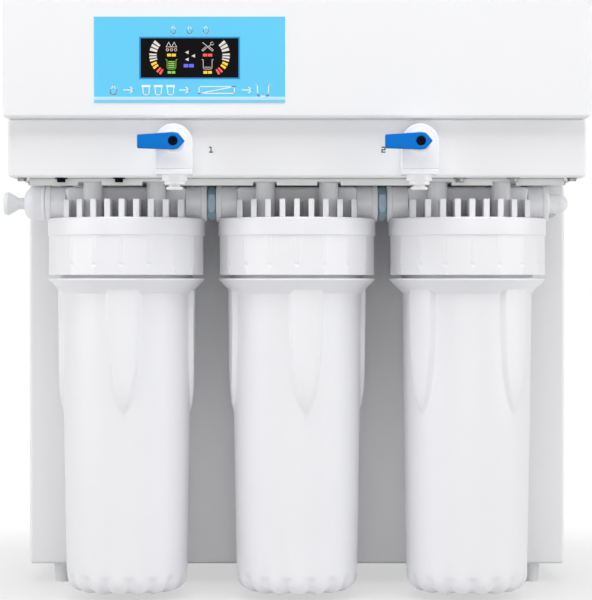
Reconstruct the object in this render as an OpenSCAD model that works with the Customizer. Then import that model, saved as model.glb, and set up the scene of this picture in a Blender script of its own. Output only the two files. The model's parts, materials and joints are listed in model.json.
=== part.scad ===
// Laboratory reverse osmosis system: a cabinet with an overhanging control head,
// three hanging filter housings and two lever taps.
// X runs to the right, Y to the rear and Z up; the front faces -Y and the bench is z = 0.

/* [Filter housings] */
// Radius of the head band
head_r = 60.5; // [58:0.5:64]
// How far a port boss stands out past the band
boss_out = 1.5; // [1:0.5:4]
// Gap between the port bosses of neighbouring heads
link_gap = 7; // [5:0.5:12]
// Gap from a sump to the bench
bench_gap = 5; // [5:0.5:12]
// Height of a sump up to its rim, for a cartridge of the standard length
sump_l = 240.4; // [225:0.2:260]
// Gap between the sump rim and the skirt
rim_gap = 2.6; // [2:0.2:4]
// Height of the panelled skirt
skirt_h = 30; // [26:1:36]
// Number of panels round the skirt
skirt_panels = 18; // [14:2:20]
// Radius of the grooves between the panels
groove_r = 0.8; // [0.5:0.1:1.2]
// Height of the lower end of a groove above the skirt edge
groove_rise = 8; // [3:0.5:14]
// Radius of the dimple at the lower end of a groove
dimple_r = 1.6; // [0.8:0.1:2.4]
// Height of the band above the skirt
band_h = 13.5; // [12:0.5:18]
// Height of the screw pillars above the band
pillar_h = 26.5; // [26:0.5:34]
// Radius of a screw pillar
pillar_r = 6.8; // [5.5:0.1:8]
// Half the spacing of the screw pillars
pillar_half = 24; // [20:1:28]
// Number of comb ribs on top of a head
comb_count = 9; // [7:2:9]
// Spacing of the comb ribs
comb_pitch = 10.8; // [9.6:0.2:11]
// Thickness of a comb rib
comb_t = 4.2; // [3:0.2:5]
// Height of the comb ribs
comb_h = 13.5; // [10:0.5:16]
// Radius that the comb rib ends follow
comb_r = 56; // [52:1:58]
// Radius of a port boss
boss_r = 14; // [13:0.5:14]
// Length of a port boss
boss_l = 16; // [14:1:20]
// Height of the port axis above the band
port_rise = 11.5; // [11:0.5:12]
// Radius of the port bore
port_r = 9.5; // [8:0.1:10.5]
// Radius of the water passages
passage_r = 5; // [4:0.5:6]

/* [Sumps] */
// Radius of the sump below its rim
sump_top_r = 49.5; // [48.5:0.5:51]
// Radius of the sump at the tip of the ribs
sump_mid_r = 48.5; // [47.5:0.5:49.5]
// Radius of the sump near the bottom
sump_low_r = 46.5; // [45.5:0.5:48]
// Wall of the sump
sump_wall = 4; // [3.5:0.1:5]
// Rounding of the bottom edge
sump_round = 12; // [9:1:14]
// Height of the rim flare
flare_h = 10.2; // [6:0.2:14]
// Height of the straight rim
rim_h = 1.2; // [1:0.2:4]
// Length of the grip ribs
rib_l = 95; // [70:1:120]
// How far a grip rib stands out at its top
rib_out = 4.8; // [3:0.1:5.5]
// Radius of the crown of a grip rib at its top
rib_r = 17.4; // [12:0.2:20]
// Gap between the top of a grip rib and the rim
rib_drop = 6.6; // [6:0.2:12]
// Number of ridges round the bottom edge
ridge_count = 16; // [12:1:20]
// Radius of a bottom ridge
ridge_r = 4.4; // [3:0.2:5]
// Height of the bottom ridges
ridge_h = 22; // [16:1:28]
// How far a bottom ridge stands out
ridge_out = 1.6; // [0.8:0.2:2]
// Radius of the threaded neck
neck_r = 50.4; // [49.5:0.1:51.5]
// Clearance of the neck in the head
neck_clear = 0.6; // [0.4:0.1:0.8]
// Radius of the seal ring section
seal_r = 1.75; // [1.4:0.05:1.9]
// Clearance round the seal ring
seal_clear = 0.25; // [0.2:0.05:0.4]
// Turn of the grip ribs of each sump, left to right
rib_turns = [1, 8, 42]; // [0:1:90]

/* [Cartridges] */
// Length of a filter cartridge
cartridge_l = 248; // [230:1:250]
// Radius of a filter cartridge
cartridge_r = 32; // [28:0.5:34]
// Radius of the bore of a cartridge
cartridge_bore = 14; // [12:0.5:15]
// Height of the cartridge seat above the sump floor
seat_h = 5; // [3:0.5:7]
// Reach of the locating post and spigot into the cartridge
locate_l = 6; // [4:0.5:10]
// Clearance of the post and spigot in the cartridge
locate_clear = 0.6; // [0.4:0.1:1]

/* [Cabinet] */
// Room from the outer port boss to the side of the head cover
side_room = 23.5; // [23.5:0.5:40]
// Step from the side of the head cover to the cabinet
side_step = 2; // [1:0.5:3]
// Depth of the lower cabinet
cabinet_d = 190; // [180:1:230]
// Thickness of the cabinet sheet
sheet = 1.2; // [0.9:0.1:1.6]
// Width of the folded flanges
flange_w = 14; // [12:1:18]
// Outside radius of the folded corners
corner_r = 3; // [2:0.5:5]
// Height of the feet
foot_h = 16; // [12:1:24]
// Radius of a foot
foot_r = 7.5; // [6.5:0.5:10]
// Distance from the cabinet side to a foot
foot_in = 25; // [18:1:40]
// Gap from the filter housings to the cabinet front
back_gap = 11.5; // [8:0.5:20]

/* [Head] */
// Height of the head tray
tray_h = 43.5; // [43:0.5:60]
// Height of the head cover
cover_h = 88; // [84:1:110]
// Gap from the filter housings to the tray front
front_gap = 3.5; // [2:0.5:12]
// How far the cover stands out in front of the tray
cover_lip = 14; // [6:1:20]
// Thickness of the filter bracket
bracket_t = 2.5; // [2:0.1:4]
// Height of the bracket lips
lip_h = 5.5; // [4:0.5:8]
// Depth of the bracket
bracket_d = 104; // [90:1:110]
// Radius of the bracket screws
screw_r = 2.5; // [2:0.1:3]

/* [Control panel] */
// Width of the control overlay
overlay_w = 140.6; // [135:0.1:160]
// Height of the control overlay
overlay_h = 63.3; // [60:0.1:72]
// Thickness of the control overlay
overlay_t = 0.5; // [0.3:0.1:1]
// Distance from the middle of the head to the middle of the overlay
overlay_left = 79; // [70:1:110]
// Distance from the top of the cover to the overlay
overlay_drop = 14; // [8:0.5:16]
// Width of the display window
window_w = 73; // [66:0.5:80]
// Height of the display window
window_h = 29.8; // [26:0.2:34]
// Rise of the display window above the middle of the overlay
window_rise = 1.3; // [0:0.1:3]

/* [Taps] */
// Distance from the middle of the head to a tap
tap_x = 90; // [80:1:110]
// Height of the tap pivot above the bottom of the tray
tap_rise = 24.9; // [22:0.1:28]
// Width of a tap body
tap_w = 27; // [26:0.5:32]
// Depth of a tap body
tap_d = 30; // [28:0.5:36]
// Height of the arch above the tap pivot
arch_h = 13.2; // [12.6:0.2:14]
// Depth of the tap body below the pivot
tap_drop = 20; // [18:0.5:21]
// Thickness of the outlet plate
plate_h = 4; // [3:0.5:6]
// Radius of the tap ball
ball_r = 8; // [7:0.1:8.4]
// Radius of the tap stem
stem_r = 4; // [3.5:0.1:4.5]
// Radius of the round bonnet behind the lever
bonnet_r = 8; // [7:0.5:9]
// Height of the bonnet
bonnet_h = 3; // [2:0.5:5]
// Thickness of the lever
lever_t = 7; // [6.5:0.5:9]
// Length of the lever handle from the pivot
lever_l = 26; // [20:1:32]
// Length of the lever point from the pivot
lever_tip = 8.6; // [7.5:0.1:11]
// Height of the lever at the pivot
lever_hub = 12.6; // [11:0.2:15]
// Height of the lever at its end
lever_end = 9.8; // [8:0.2:12]
// Radius of the screw recess in the lever
recess_r = 3.6; // [3.2:0.1:4]
// Radius of the tap shank
shank_r = 7; // [6:0.1:7.6]
// Length of the tap shank
shank_l = 22; // [18:1:28]
// Running clearance of the tap ball and stem
tap_clear = 0.1; // [0.06:0.02:0.16]

/* [Tube fittings] */
// Radius of the tube socket
tube_r = 3.25; // [3:0.05:3.4]
// Wall of a release collet
collet_wall = 1.1; // [0.9:0.1:1.4]
// Clearance of a collet in its socket
collet_clear = 0.2; // [0.1:0.05:0.3]
// Gap that a collet closes when it is pressed
collet_gap = 1.5; // [1.5:0.1:2.5]
// Length of the inlet bush
bush_l = 16.6; // [14:0.2:22]
// Radius of the inlet bush
bush_r = 13.5; // [12:0.5:14]
// Radius of the flared inlet collet
flare_r = 9; // [7:0.5:11]
// Length of the flared end of the inlet collet
flare_l = 11; // [8:0.5:14]

/* [Inside the cabinet] */
// Radius of the pump motor
motor_r = 42; // [38:1:44]
// Length of the pump motor
motor_l = 130; // [110:1:140]
// Height of the pump mounts under the motor
mount_h = 12; // [8:1:16]
// Radius of a membrane housing
membrane_r = 31; // [28:0.5:32]
// Length of a membrane housing between its caps
membrane_l = 230; // [200:1:235]
// Radius of the resin column
column_r = 38; // [34:1:40]
// Height of the resin column
column_h = 250; // [220:1:280]

/* [Rear] */
// Radius of a rear port stub
stub_r = 6.58; // [6:0.02:7]
// Length of a rear port stub
stub_l = 13; // [10:0.5:18]
// Number of vent slots
vent_count = 8; // [4:1:9]
// Width of a vent slot
vent_w = 120; // [80:1:140]

/* [Hidden] */
$fn = 72;
cut = 1;
slip = 0.3;
pilot = 0.2;

// Widths and depths
boss_reach = head_r + boss_out;
pitch = 2 * boss_reach + link_gap;
cover_w = 2 * (pitch + boss_reach + side_room);
cabinet_w = cover_w - 2 * side_step;
half_w = cabinet_w / 2;
in_half = half_w - sheet;
skirt_r = head_r - 0.5;
house_y = -(head_r + back_gap);
tray_front = house_y - head_r - front_gap;
cover_front = tray_front - cover_lip;
cover_back = cabinet_d + side_step;

// Heights from the bench up; a sump grows with a cartridge that is longer than standard
standard_l = 248;
sump_h = sump_l + cartridge_l - standard_l;
rim_z = bench_gap + sump_h;
head_z = rim_z + rim_gap;
band_z = head_z + skirt_h;
deck_z = band_z + band_h;
pillar_z = deck_z + pillar_h;
tray_z = pillar_z + bracket_t;
cover_z = tray_z + tray_h;
top_z = cover_z + cover_h;
port_z = deck_z + port_rise;
floor_z = foot_h + sheet;
tray_floor = tray_z + sheet;

// Housing inside
cavity_r = neck_r + neck_clear;
neck_top = band_z - seal_r - seal_clear;
neck_bore = neck_r - 5.4;
seal_ring_r = (neck_r + neck_bore) / 2;
flare_z = sump_h - rim_h - flare_h;
rib_z = sump_h - rib_drop;
rib_tip = rib_z - rib_l;
sump_floor = ridge_out + sump_wall;
cartridge_z = bench_gap + sump_floor + seat_h;
locate_r = cartridge_bore - locate_clear;
seat_r = cartridge_bore + 6;
duct_r = 8;
duct_z = deck_z + comb_h - duct_r;
collar_r = duct_r + 3;
drop_x = 30;
thread_l = boss_l - 2;
thread_clear = 0.1;

// Bracket and screws
bracket_half = pitch + boss_reach + 7;
screw_head_r = 4.6;
screw_head_h = 3;
head_screw_l = 14;
pillar_hole = head_screw_l + 2;
bracket_screw_x = [pitch + 50, pitch / 2];
bracket_screw_y = 38;
sheet_screw_r = 1.9;
underside_in = 9.5;
foot_edge = foot_in - 7;
foot_stud_r = 2.4;

// Tube fittings
collet_r = tube_r + collet_wall;
socket_r = collet_r + collet_clear;
flow_r = tube_r - 0.5;
neck_l = collet_gap + 2.9;
elbow_out = 8;
elbow_r = 7.5;
pipe_r = 6.5;
grommet_r = pipe_r + 2.9;

// Tap
ball_in = tap_d / 2;
seat_in = 5.1;
seat_z = -sqrt(pow(ball_r + tap_clear, 2) - pow(seat_in, 2));
seat_t = 4;
well_r = ball_r + 0.5;
lever_y = tap_d + bonnet_h + slip;
recess_d = 3;
tip_r = stem_r - 1;
tap_z = tray_z + tap_rise;
plate_z = -tap_drop - plate_h;
step_r = [9.4, 7.7];
step_h = [4.4, 2.6];
step_z = plate_z - step_h[0] - step_h[1];
collet_flange = 2.2;
collet_z = step_z - collet_gap - collet_flange;
socket_z = plate_z + 3;
nut_h = 6;
nut_r = 1.75 * shank_r;

// Control panel
overlay_z = top_z - overlay_drop - overlay_h / 2;
window_z = overlay_z + window_rise;
window_flange = 5;
window_t = 2;
board_t = 1.6;
board_w = window_w + 57;
board_h = window_h + 36;
board_y = cover_front + sheet + window_t;
post_in = 6;
post_h = 8;
post_r = 3;
post_screw_r = 1.4;
control_w = 150;
control_d = 100;
control_x = -half_w + 45;
control_y = 4;

// Inside the cabinet
mount_plate = 2;
motor_z = floor_z + mount_plate + mount_h + motor_r;
motor_y = cabinet_d / 2 + 5;
motor_x = -in_half + 25;
pump_head_l = 55;
membrane_y = sheet + 8 + membrane_r;
membrane_cap_r = membrane_r + 5;
membrane_cap_l = 35;
membrane_x = -in_half + 18 + membrane_cap_l;
membrane_pitch = 2 * membrane_cap_r + 3;
membrane_z = motor_z + motor_r + 20 + membrane_cap_r;
membrane_wall = 3;
membrane_port_r = 8;
column_x = in_half - column_r - 14;
column_y = cabinet_d / 2 + 15;
valve_x = -in_half;
valve_z = membrane_z + 20;

// Rear
rear_margin = 2;
rear_y = cabinet_d + sheet;
entry_in = 64;
entry_up = 79;
entry_x = -half_w + entry_in;
entry_z = floor_z + entry_up;
entry_w = 32;
entry_h = 62;
entry_bezel = 2.5;
entry_body_d = 24;
entry_wall = 2;
rocker_w = 13;
rocker_h = 19;
rocker_gap = 0.4;
rocker_tilt = 10;
rocker_z = entry_z + 18;
rocker_y = rear_y - 1;
rocker_pin = 1.4;
inlet_drop = 12;
stub_in = 115;
stub_pitch = 40;
stub_x = [half_w - stub_in, half_w - stub_in - stub_pitch];
stub_flange = 5;
vent_h = 4;
vent_pitch = 10;
vent_z = tray_z - flange_w - 22;
rear_screw_z = [foot_h + flange_w / 2 + 3, (foot_h + tray_z) / 2, tray_z - flange_w / 2 - 3];

// Offset that puts the middle of the part over the origin
inlet_end = pitch + boss_reach + bush_l + neck_l + flare_l;
lever_front = -tray_front + lever_y + lever_t;
stub_end = rear_y + stub_flange + stub_l;
shift_x = (inlet_end - cover_w / 2) / 2;
shift_y = (lever_front - stub_end) / 2;

// Colours
white_paint = [0.96, 0.96, 0.97];
white_plastic = [0.94, 0.94, 0.95];
grey_plastic = [0.62, 0.64, 0.65];
pale_grey = [0.80, 0.81, 0.82];
link_grey = [0.52, 0.60, 0.64];
steel = [0.72, 0.73, 0.74];
lever_blue = [0.03, 0.46, 0.84];
panel_blue = [0.42, 0.83, 0.96];
black = [0.06, 0.06, 0.07];
board_green = [0.10, 0.38, 0.22];
rubber = [0.12, 0.12, 0.13];
cream = [0.93, 0.92, 0.86];

// Shared shapes

module place() {
    translate([shift_x, shift_y, 0]) children();
}

module along_x() {
    rotate([0, 90, 0]) children();
}

module along_y() {
    rotate([-90, 0, 0]) children();
}

// Points of an arc about a centre, from one angle to another
function arc(centre, r, from, to, steps) = [
    for (i = [0:steps])
        let (a = from + (to - from) * i / steps)
        [centre[0] + r * cos(a), centre[1] + r * sin(a)]
];

// Block with rounded upright edges, from its low corner
module rounded_block(size, r) {
    translate([r, 0, 0]) cube([size[0] - 2 * r, size[1], size[2]]);
    translate([0, r, 0]) cube([size[0], size[1] - 2 * r, size[2]]);
    for (x = [r, size[0] - r], y = [r, size[1] - r])
        translate([x, y, 0]) cylinder(h = size[2], r = r);
}

// Closed box of folded sheet with rounded upright edges
module sheet_box(half, front, back, low, high) {
    inner_r = corner_r - sheet;
    difference() {
        translate([-half, front, low])
            rounded_block([2 * half, back - front, high - low], corner_r);
        translate([-half + sheet, front + sheet, low + sheet])
            rounded_block([2 * (half - sheet), back - front - 2 * sheet, high - low - 2 * sheet],
                inner_r);
    }
}

// Space inside the flanges that join the tray and the cover
module tray_window(low, high) {
    translate([-half_w + flange_w, tray_front + flange_w, low])
        cube([cabinet_w - 2 * flange_w, cabinet_d - tray_front - 2 * flange_w, high - low]);
}

// Round-ended slot through a panel that faces Y
module slot(w, h, t) {
    translate([-(w - h) / 2, -t / 2, -h / 2]) cube([w - h, t, h]);
    for (s = [-1, 1])
        translate([s * (w - h) / 2, -t / 2, 0]) along_y() cylinder(h = t, r = h / 2);
}

module at_pillars() {
    for (i = [-1:1], sx = [-1, 1], sy = [-1, 1])
        translate([i * pitch + sx * pillar_half, house_y + sy * pillar_half, 0]) children();
}

module at_bracket_screws() {
    for (x = bracket_screw_x, sx = [-1, 1], sy = [-1, 1])
        translate([sx * x, house_y + sy * bracket_screw_y, 0]) children();
}

module at_feet() {
    for (sx = [-1, 1], y = [foot_edge, cabinet_d - foot_edge])
        translate([sx * (half_w - foot_in), y, 0]) children();
}

module at_rear_screws() {
    for (sx = [-1, 1], z = rear_screw_z)
        translate([sx * (half_w - flange_w / 2), cabinet_d, z]) children();
}

module at_underside_screws() {
    for (sx = [-1, 1], y = [tray_front + 8, house_y + 12])
        translate([sx * (half_w - underside_in), y, tray_z]) children();
}

module at_tap(side) {
    place() translate([side * tap_x, tray_front, tap_z]) children();
}

module at_housing(i) {
    place() translate([i * pitch, house_y, 0]) children();
}

// Cabinet and head

module lower_cabinet() {
    color(white_paint) place() difference() {
        sheet_box(half_w, 0, cabinet_d, foot_h, tray_z);
        translate([-half_w + flange_w, flange_w, tray_z - sheet - cut])
            cube([cabinet_w - 2 * flange_w, cabinet_d - 2 * flange_w, sheet + 2 * cut]);
        translate([-half_w + flange_w, cabinet_d - sheet - cut, foot_h + flange_w])
            cube([cabinet_w - 2 * flange_w, sheet + 2 * cut, tray_z - foot_h - 2 * flange_w]);
        translate([pitch + boss_reach + elbow_out, -cut, port_z])
            along_y() cylinder(h = sheet + 2 * cut, r = grommet_r - 1.2);
        at_feet() translate([0, 0, foot_h - cut]) cylinder(h = sheet + 2 * cut, r = foot_stud_r + pilot);
        at_rear_screws() translate([0, -sheet - cut, 0])
            along_y() cylinder(h = sheet + 2 * cut, r = sheet_screw_r + pilot);
    }
}

module rear_cover() {
    color(white_paint) place() difference() {
        translate([-half_w + rear_margin, cabinet_d, foot_h + rear_margin])
            cube([cabinet_w - 2 * rear_margin, sheet, tray_z - foot_h - 2 * rear_margin]);
        for (i = [0:vent_count - 1])
            translate([0, cabinet_d + sheet / 2, vent_z - i * vent_pitch])
                slot(vent_w, vent_h, sheet + 2 * cut);
        translate([entry_x - entry_w / 2 + entry_wall, cabinet_d - cut, entry_z - entry_h / 2 + entry_wall])
            cube([entry_w - 2 * entry_wall, sheet + 2 * cut, entry_h - 2 * entry_wall]);
        for (x = stub_x)
            translate([x, cabinet_d - cut, entry_z])
                along_y() cylinder(h = sheet + 2 * cut, r = stub_r + pilot);
        at_rear_screws() translate([0, -cut, 0])
            along_y() cylinder(h = sheet + 2 * cut, r = sheet_screw_r + pilot);
    }
}

module cover_screws() {
    pan_r = 3.6;
    pan_h = 1.4;
    reach = 8;
    color(steel) place() at_rear_screws() {
        translate([0, sheet, 0]) along_y() cylinder(h = pan_h, r = pan_r);
        translate([0, sheet + pan_h, 0]) along_y() cylinder(h = 0.9, r1 = pan_r, r2 = pan_r - 1.2);
        translate([0, -reach, 0]) along_y() cylinder(h = reach + sheet + pan_h / 2, r = sheet_screw_r);
    }
}

module head_tray() {
    cable_w = 120;
    cable_d = 40;
    color(white_paint) place() difference() {
        sheet_box(half_w, tray_front, cabinet_d, tray_z, cover_z);
        tray_window(cover_z - sheet - cut, cover_z + cut);
        for (s = [-1, 1])
            translate([s * tap_x, tray_front - cut, tap_z])
                along_y() cylinder(h = sheet + 2 * cut, r = shank_r + slip);
        at_pillars() translate([0, 0, tray_z - cut])
            cylinder(h = sheet + 2 * cut, r = screw_head_r + 1.5);
        at_bracket_screws() translate([0, 0, tray_z - cut])
            cylinder(h = sheet + 2 * cut, r = screw_r + pilot);
        at_underside_screws() translate([0, 0, -cut])
            cylinder(h = sheet + 2 * cut, r = sheet_screw_r + pilot);
        translate([-cable_w / 2, cabinet_d - flange_w - cable_d, tray_z - cut])
            cube([cable_w, cable_d, sheet + 2 * cut]);
    }
}

module head_cover() {
    color(white_paint) place() difference() {
        sheet_box(cover_w / 2, cover_front, cover_back, cover_z, top_z);
        tray_window(cover_z - cut, cover_z + sheet + cut);
        translate([-overlay_left - window_w / 2 - slip, cover_front - cut, window_z - window_h / 2 - slip])
            cube([window_w + 2 * slip, sheet + 2 * cut, window_h + 2 * slip]);
    }
}

module filter_bracket() {
    notch_w = 2 * pillar_r + 4;
    color(steel) place() difference() {
        union() {
            translate([-bracket_half, house_y - bracket_d / 2, pillar_z])
                cube([2 * bracket_half, bracket_d, bracket_t]);
            for (y = [house_y - bracket_d / 2, house_y + bracket_d / 2 - bracket_t])
                translate([-bracket_half, y, tray_z - lip_h])
                    cube([2 * bracket_half, bracket_t, lip_h]);
        }
        for (i = [-1:1], s = [-1, 1])
            translate([i * pitch + s * pillar_half - notch_w / 2, house_y - bracket_d / 2 - cut,
                tray_z - lip_h - cut])
                cube([notch_w, bracket_t + 2 * cut, lip_h - bracket_t + cut]);
        at_pillars() translate([0, 0, pillar_z - cut])
            cylinder(h = bracket_t + 2 * cut, r = screw_r + pilot);
        at_bracket_screws() translate([0, 0, pillar_z - cut])
            cylinder(h = bracket_t + 2 * cut, r = screw_r + pilot);
    }
}

// Hex screw that points up, with its washer under the sheet at z = 0
module hex_screw(r, head, reach) {
    washer_t = 0.8;
    translate([0, 0, -washer_t]) cylinder(h = washer_t, r = 2 * r);
    translate([0, 0, -washer_t - head]) cylinder(h = head, r = 1.75 * r, $fn = 6);
    translate([0, 0, -washer_t]) cylinder(h = reach + washer_t, r = r);
}

module bracket_screws() {
    nut_t = 3;
    color(steel) place() at_bracket_screws() {
        translate([0, 0, pillar_z]) hex_screw(screw_r, 1.6, bracket_t + sheet + nut_t + 1);
        translate([0, 0, tray_floor]) cylinder(h = nut_t, r = 2 * screw_r, $fn = 6);
    }
}

module underside_screws() {
    nut_t = 2.4;
    color(steel) place() at_underside_screws() {
        hex_screw(sheet_screw_r, 1.8, sheet + nut_t + 1);
        translate([0, 0, sheet]) cylinder(h = nut_t, r = 2 * sheet_screw_r, $fn = 6);
    }
}

module feet() {
    taper = 1.3;
    hollow_r = 3;
    hollow_h = 5;
    nut_t = 3;
    color(pale_grey) place() at_feet() {
        difference() {
            cylinder(h = foot_h, r1 = foot_r - taper, r2 = foot_r);
            translate([0, 0, -cut]) cylinder(h = hollow_h + cut, r = hollow_r);
        }
        translate([0, 0, foot_h - cut]) cylinder(h = sheet + 2 * nut_t + cut, r = foot_stud_r);
        translate([0, 0, floor_z]) cylinder(h = nut_t, r = screw_head_r, $fn = 6);
    }
}

// Control panel and electronics

module control_overlay() {
    color(panel_blue) place() difference() {
        translate([-overlay_left - overlay_w / 2, cover_front - overlay_t, overlay_z - overlay_h / 2])
            cube([overlay_w, overlay_t, overlay_h]);
        translate([-overlay_left - window_w / 2, cover_front - overlay_t - cut, window_z - window_h / 2])
            cube([window_w, overlay_t + 2 * cut, window_h]);
    }
}

module display_window() {
    edge = 0.1;
    color(black) place() {
        translate([-overlay_left - window_w / 2 + edge, cover_front - overlay_t,
            window_z - window_h / 2 + edge])
            cube([window_w - 2 * edge, overlay_t + sheet + window_t, window_h - 2 * edge]);
        translate([-overlay_left - window_w / 2 - window_flange, cover_front + sheet,
            window_z - window_h / 2 - window_flange])
            cube([window_w + 2 * window_flange, window_t, window_h + 2 * window_flange]);
    }
}

module at_display_posts() {
    for (sx = [-1, 1], sz = [-1, 1])
        translate([-overlay_left + sx * (board_w / 2 - post_in), cover_front + sheet,
            window_z + sz * (board_h / 2 - post_in)])
            children();
}

module display_board() {
    plug = [30, 9, 6];
    plug_up = 4;
    chip = [14, 1.6, 14];
    chip_left = 10;
    color(board_green) place() difference() {
        union() {
            translate([-overlay_left - board_w / 2, board_y, window_z - board_h / 2])
                cube([board_w, board_t, board_h]);
            translate([-overlay_left - plug[0] / 2, board_y + board_t, window_z - board_h / 2 + plug_up])
                cube(plug);
            translate([-overlay_left - chip_left, board_y + board_t, window_z])
                cube(chip);
        }
        at_display_posts() translate([0, window_t - cut, 0])
            along_y() cylinder(h = board_t + 2 * cut, r = post_screw_r + pilot);
    }
}

module at_control_posts() {
    for (x = [post_in, control_w - post_in], y = [post_in, control_d - post_in])
        translate([control_x + x, control_y + y, tray_floor]) children();
}

module control_board() {
    top = post_h + board_t;
    relay = [18, 15, 15];
    relay_at = [16, 78];
    relay_pitch = 22;
    plug = [9, 8, 10];
    plug_at = [14, 4];
    plug_pitch = 12;
    chip = [26, 26, 2.4];
    chip_at = [52, 34];
    capacitor_r = 6;
    capacitor_h = 18;
    capacitor_x = [98, 116, 132];
    capacitor_y = 50;
    color(board_green) place() difference() {
        translate([control_x, control_y, tray_floor]) {
            translate([0, 0, post_h]) cube([control_w, control_d, board_t]);
            for (i = [0:3])
                translate([relay_at[0] + i * relay_pitch, relay_at[1], top]) cube(relay);
            for (i = [0:9])
                translate([plug_at[0] + i * plug_pitch, plug_at[1], top]) cube(plug);
            translate([chip_at[0], chip_at[1], top]) cube(chip);
            for (x = capacitor_x)
                translate([x, capacitor_y, top]) cylinder(h = capacitor_h, r = capacitor_r);
        }
        at_control_posts() translate([0, 0, post_h - cut])
            cylinder(h = board_t + 2 * cut, r = post_screw_r + pilot);
    }
}

module board_posts() {
    color(steel) place() {
        at_control_posts() {
            cylinder(h = post_h, r = post_r);
            translate([0, 0, post_h + board_t]) cylinder(h = 1.8, r = 2 * post_screw_r);
            cylinder(h = post_h + board_t + 1, r = post_screw_r);
        }
        at_display_posts() {
            along_y() cylinder(h = window_t, r = post_r);
            translate([0, window_t + board_t, 0]) along_y() cylinder(h = 1.8, r = 2 * post_screw_r);
            along_y() cylinder(h = window_t + board_t + 1, r = post_screw_r);
        }
    }
}

module power_supply() {
    supply = [159, 98, 36];
    side_gap = 35;
    louvre = [3, 60, 2];
    louvre_first = 20;
    louvre_pitch = 13;
    terminal = [14, 8, 10];
    color(steel) place() translate([half_w - supply[0] - side_gap, control_y, tray_floor]) difference() {
        cube(supply);
        for (i = [0:8])
            translate([louvre_first + i * louvre_pitch, (supply[1] - louvre[1]) / 2, supply[2] - louvre[2]])
                cube([louvre[0], louvre[1], louvre[2] + cut]);
        translate([-cut, terminal[1], terminal[2]])
            cube([terminal[0] + cut, supply[1] - 2 * terminal[1], supply[2]]);
    }
}

// Filter housings

module skirt() {
    step = 360 / skirt_panels;
    difference() {
        linear_extrude(skirt_h)
            polygon([for (i = [0:skirt_panels - 1]) skirt_r * [sin(i * step), cos(i * step)]]);
        for (i = [0:skirt_panels - 1])
            rotate([0, 0, i * step]) translate([0, -skirt_r, groove_rise]) {
                cylinder(h = skirt_h, r = groove_r, $fn = 24);
                sphere(r = dimple_r, $fn = 24);
            }
        translate([0, 0, -cut]) cylinder(h = skirt_h + 2 * cut, r = cavity_r);
    }
}

module comb() {
    intersection() {
        cylinder(h = comb_h + cut, r = comb_r);
        for (i = [0:comb_count - 1])
            translate([(i - (comb_count - 1) / 2) * comb_pitch - comb_t / 2, -comb_r, 0])
                cube([comb_t, 2 * comb_r, comb_h + cut]);
    }
}

// Filter head with its skirt, comb, ports and water passages
module filter_head() {
    chamfer = 1.2;
    hub_wall = 6;
    pillar_draft = 0.6;
    color(white_plastic) difference() {
        union() {
            translate([0, 0, head_z]) skirt();
            translate([0, 0, band_z]) cylinder(h = band_h - chamfer, r = head_r);
            translate([0, 0, deck_z - chamfer]) cylinder(h = chamfer, r1 = head_r, r2 = head_r - chamfer);
            translate([0, 0, deck_z - cut]) comb();
            for (s = [-1, 1]) {
                translate([s * (boss_reach - boss_l / 2), 0, port_z])
                    along_x() cylinder(h = boss_l, r = boss_r, center = true);
                translate([s * (boss_reach + drop_x - boss_l + cut) / 2, 0, duct_z])
                    along_x() cylinder(h = boss_reach - boss_l - drop_x + cut, r = collar_r, center = true);
            }
            translate([-drop_x - passage_r, 0, duct_z])
                along_x() cylinder(h = boss_reach + drop_x - boss_l, r = duct_r);
            translate([0, 0, deck_z - cut]) cylinder(h = comb_h + cut, r = duct_r + hub_wall);
            for (sx = [-1, 1], sy = [-1, 1])
                translate([sx * pillar_half, sy * pillar_half, deck_z - cut])
                    cylinder(h = pillar_h + cut, r1 = pillar_r + pillar_draft, r2 = pillar_r);
            translate([0, 0, cartridge_z + cartridge_l - locate_l])
                cylinder(h = band_z + cut - cartridge_z - cartridge_l + locate_l, r = locate_r);
        }
        for (s = [-1, 1]) {
            translate([s * (boss_reach - boss_l / 2 + cut / 2), 0, port_z])
                along_x() cylinder(h = boss_l + cut, r = port_r, center = true);
        }
        translate([0, 0, duct_z]) along_x() cylinder(h = boss_reach - boss_l + cut, r = passage_r);
        translate([-drop_x, 0, duct_z]) rotate([0, -90, 0])
            cylinder(h = boss_reach - boss_l - drop_x + cut, r = passage_r);
        translate([-drop_x, 0, band_z - cut]) cylinder(h = duct_z - band_z + cut, r = passage_r);
        translate([0, 0, cartridge_z]) cylinder(h = duct_z - cartridge_z, r = passage_r);
        for (sx = [-1, 1], sy = [-1, 1])
            translate([sx * pillar_half, sy * pillar_half, pillar_z - pillar_hole])
                cylinder(h = pillar_hole + cut, r = screw_r + pilot);
    }
}

module filter_head_left() {
    at_housing(-1) filter_head();
}

module filter_head_middle() {
    at_housing(0) filter_head();
}

module filter_head_right() {
    at_housing(1) filter_head();
}

module head_screws() {
    color(steel) place() at_pillars() {
        translate([0, 0, tray_z]) cylinder(h = screw_head_h, r = screw_head_r, $fn = 6);
        translate([0, 0, pillar_z - head_screw_l])
            cylinder(h = head_screw_l + bracket_t + cut, r = screw_r);
    }
}

// Round bottom edge of a sump, set in by a given amount
function sump_edge(inset) =
    arc([sump_low_r - sump_round, sump_round], sump_round - inset, -90, 0, 8);

// Flame-shaped rib: a spindle sunk in the wall, which draws in towards its tip
module grip_rib() {
    draw_in = sump_top_r + rib_out - sump_mid_r;
    steps = 8;
    past_tip = 1.08;
    translate([0, rib_r - sump_top_r - rib_out, rib_z]) rotate_extrude() polygon(concat(
        [[0, 0]],
        [for (i = [0:steps]) let (t = past_tip * i / steps) [rib_r - draw_in * pow(t, 3), -rib_l * t]],
        [[0, -rib_l * past_tip]]));
}

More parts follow.
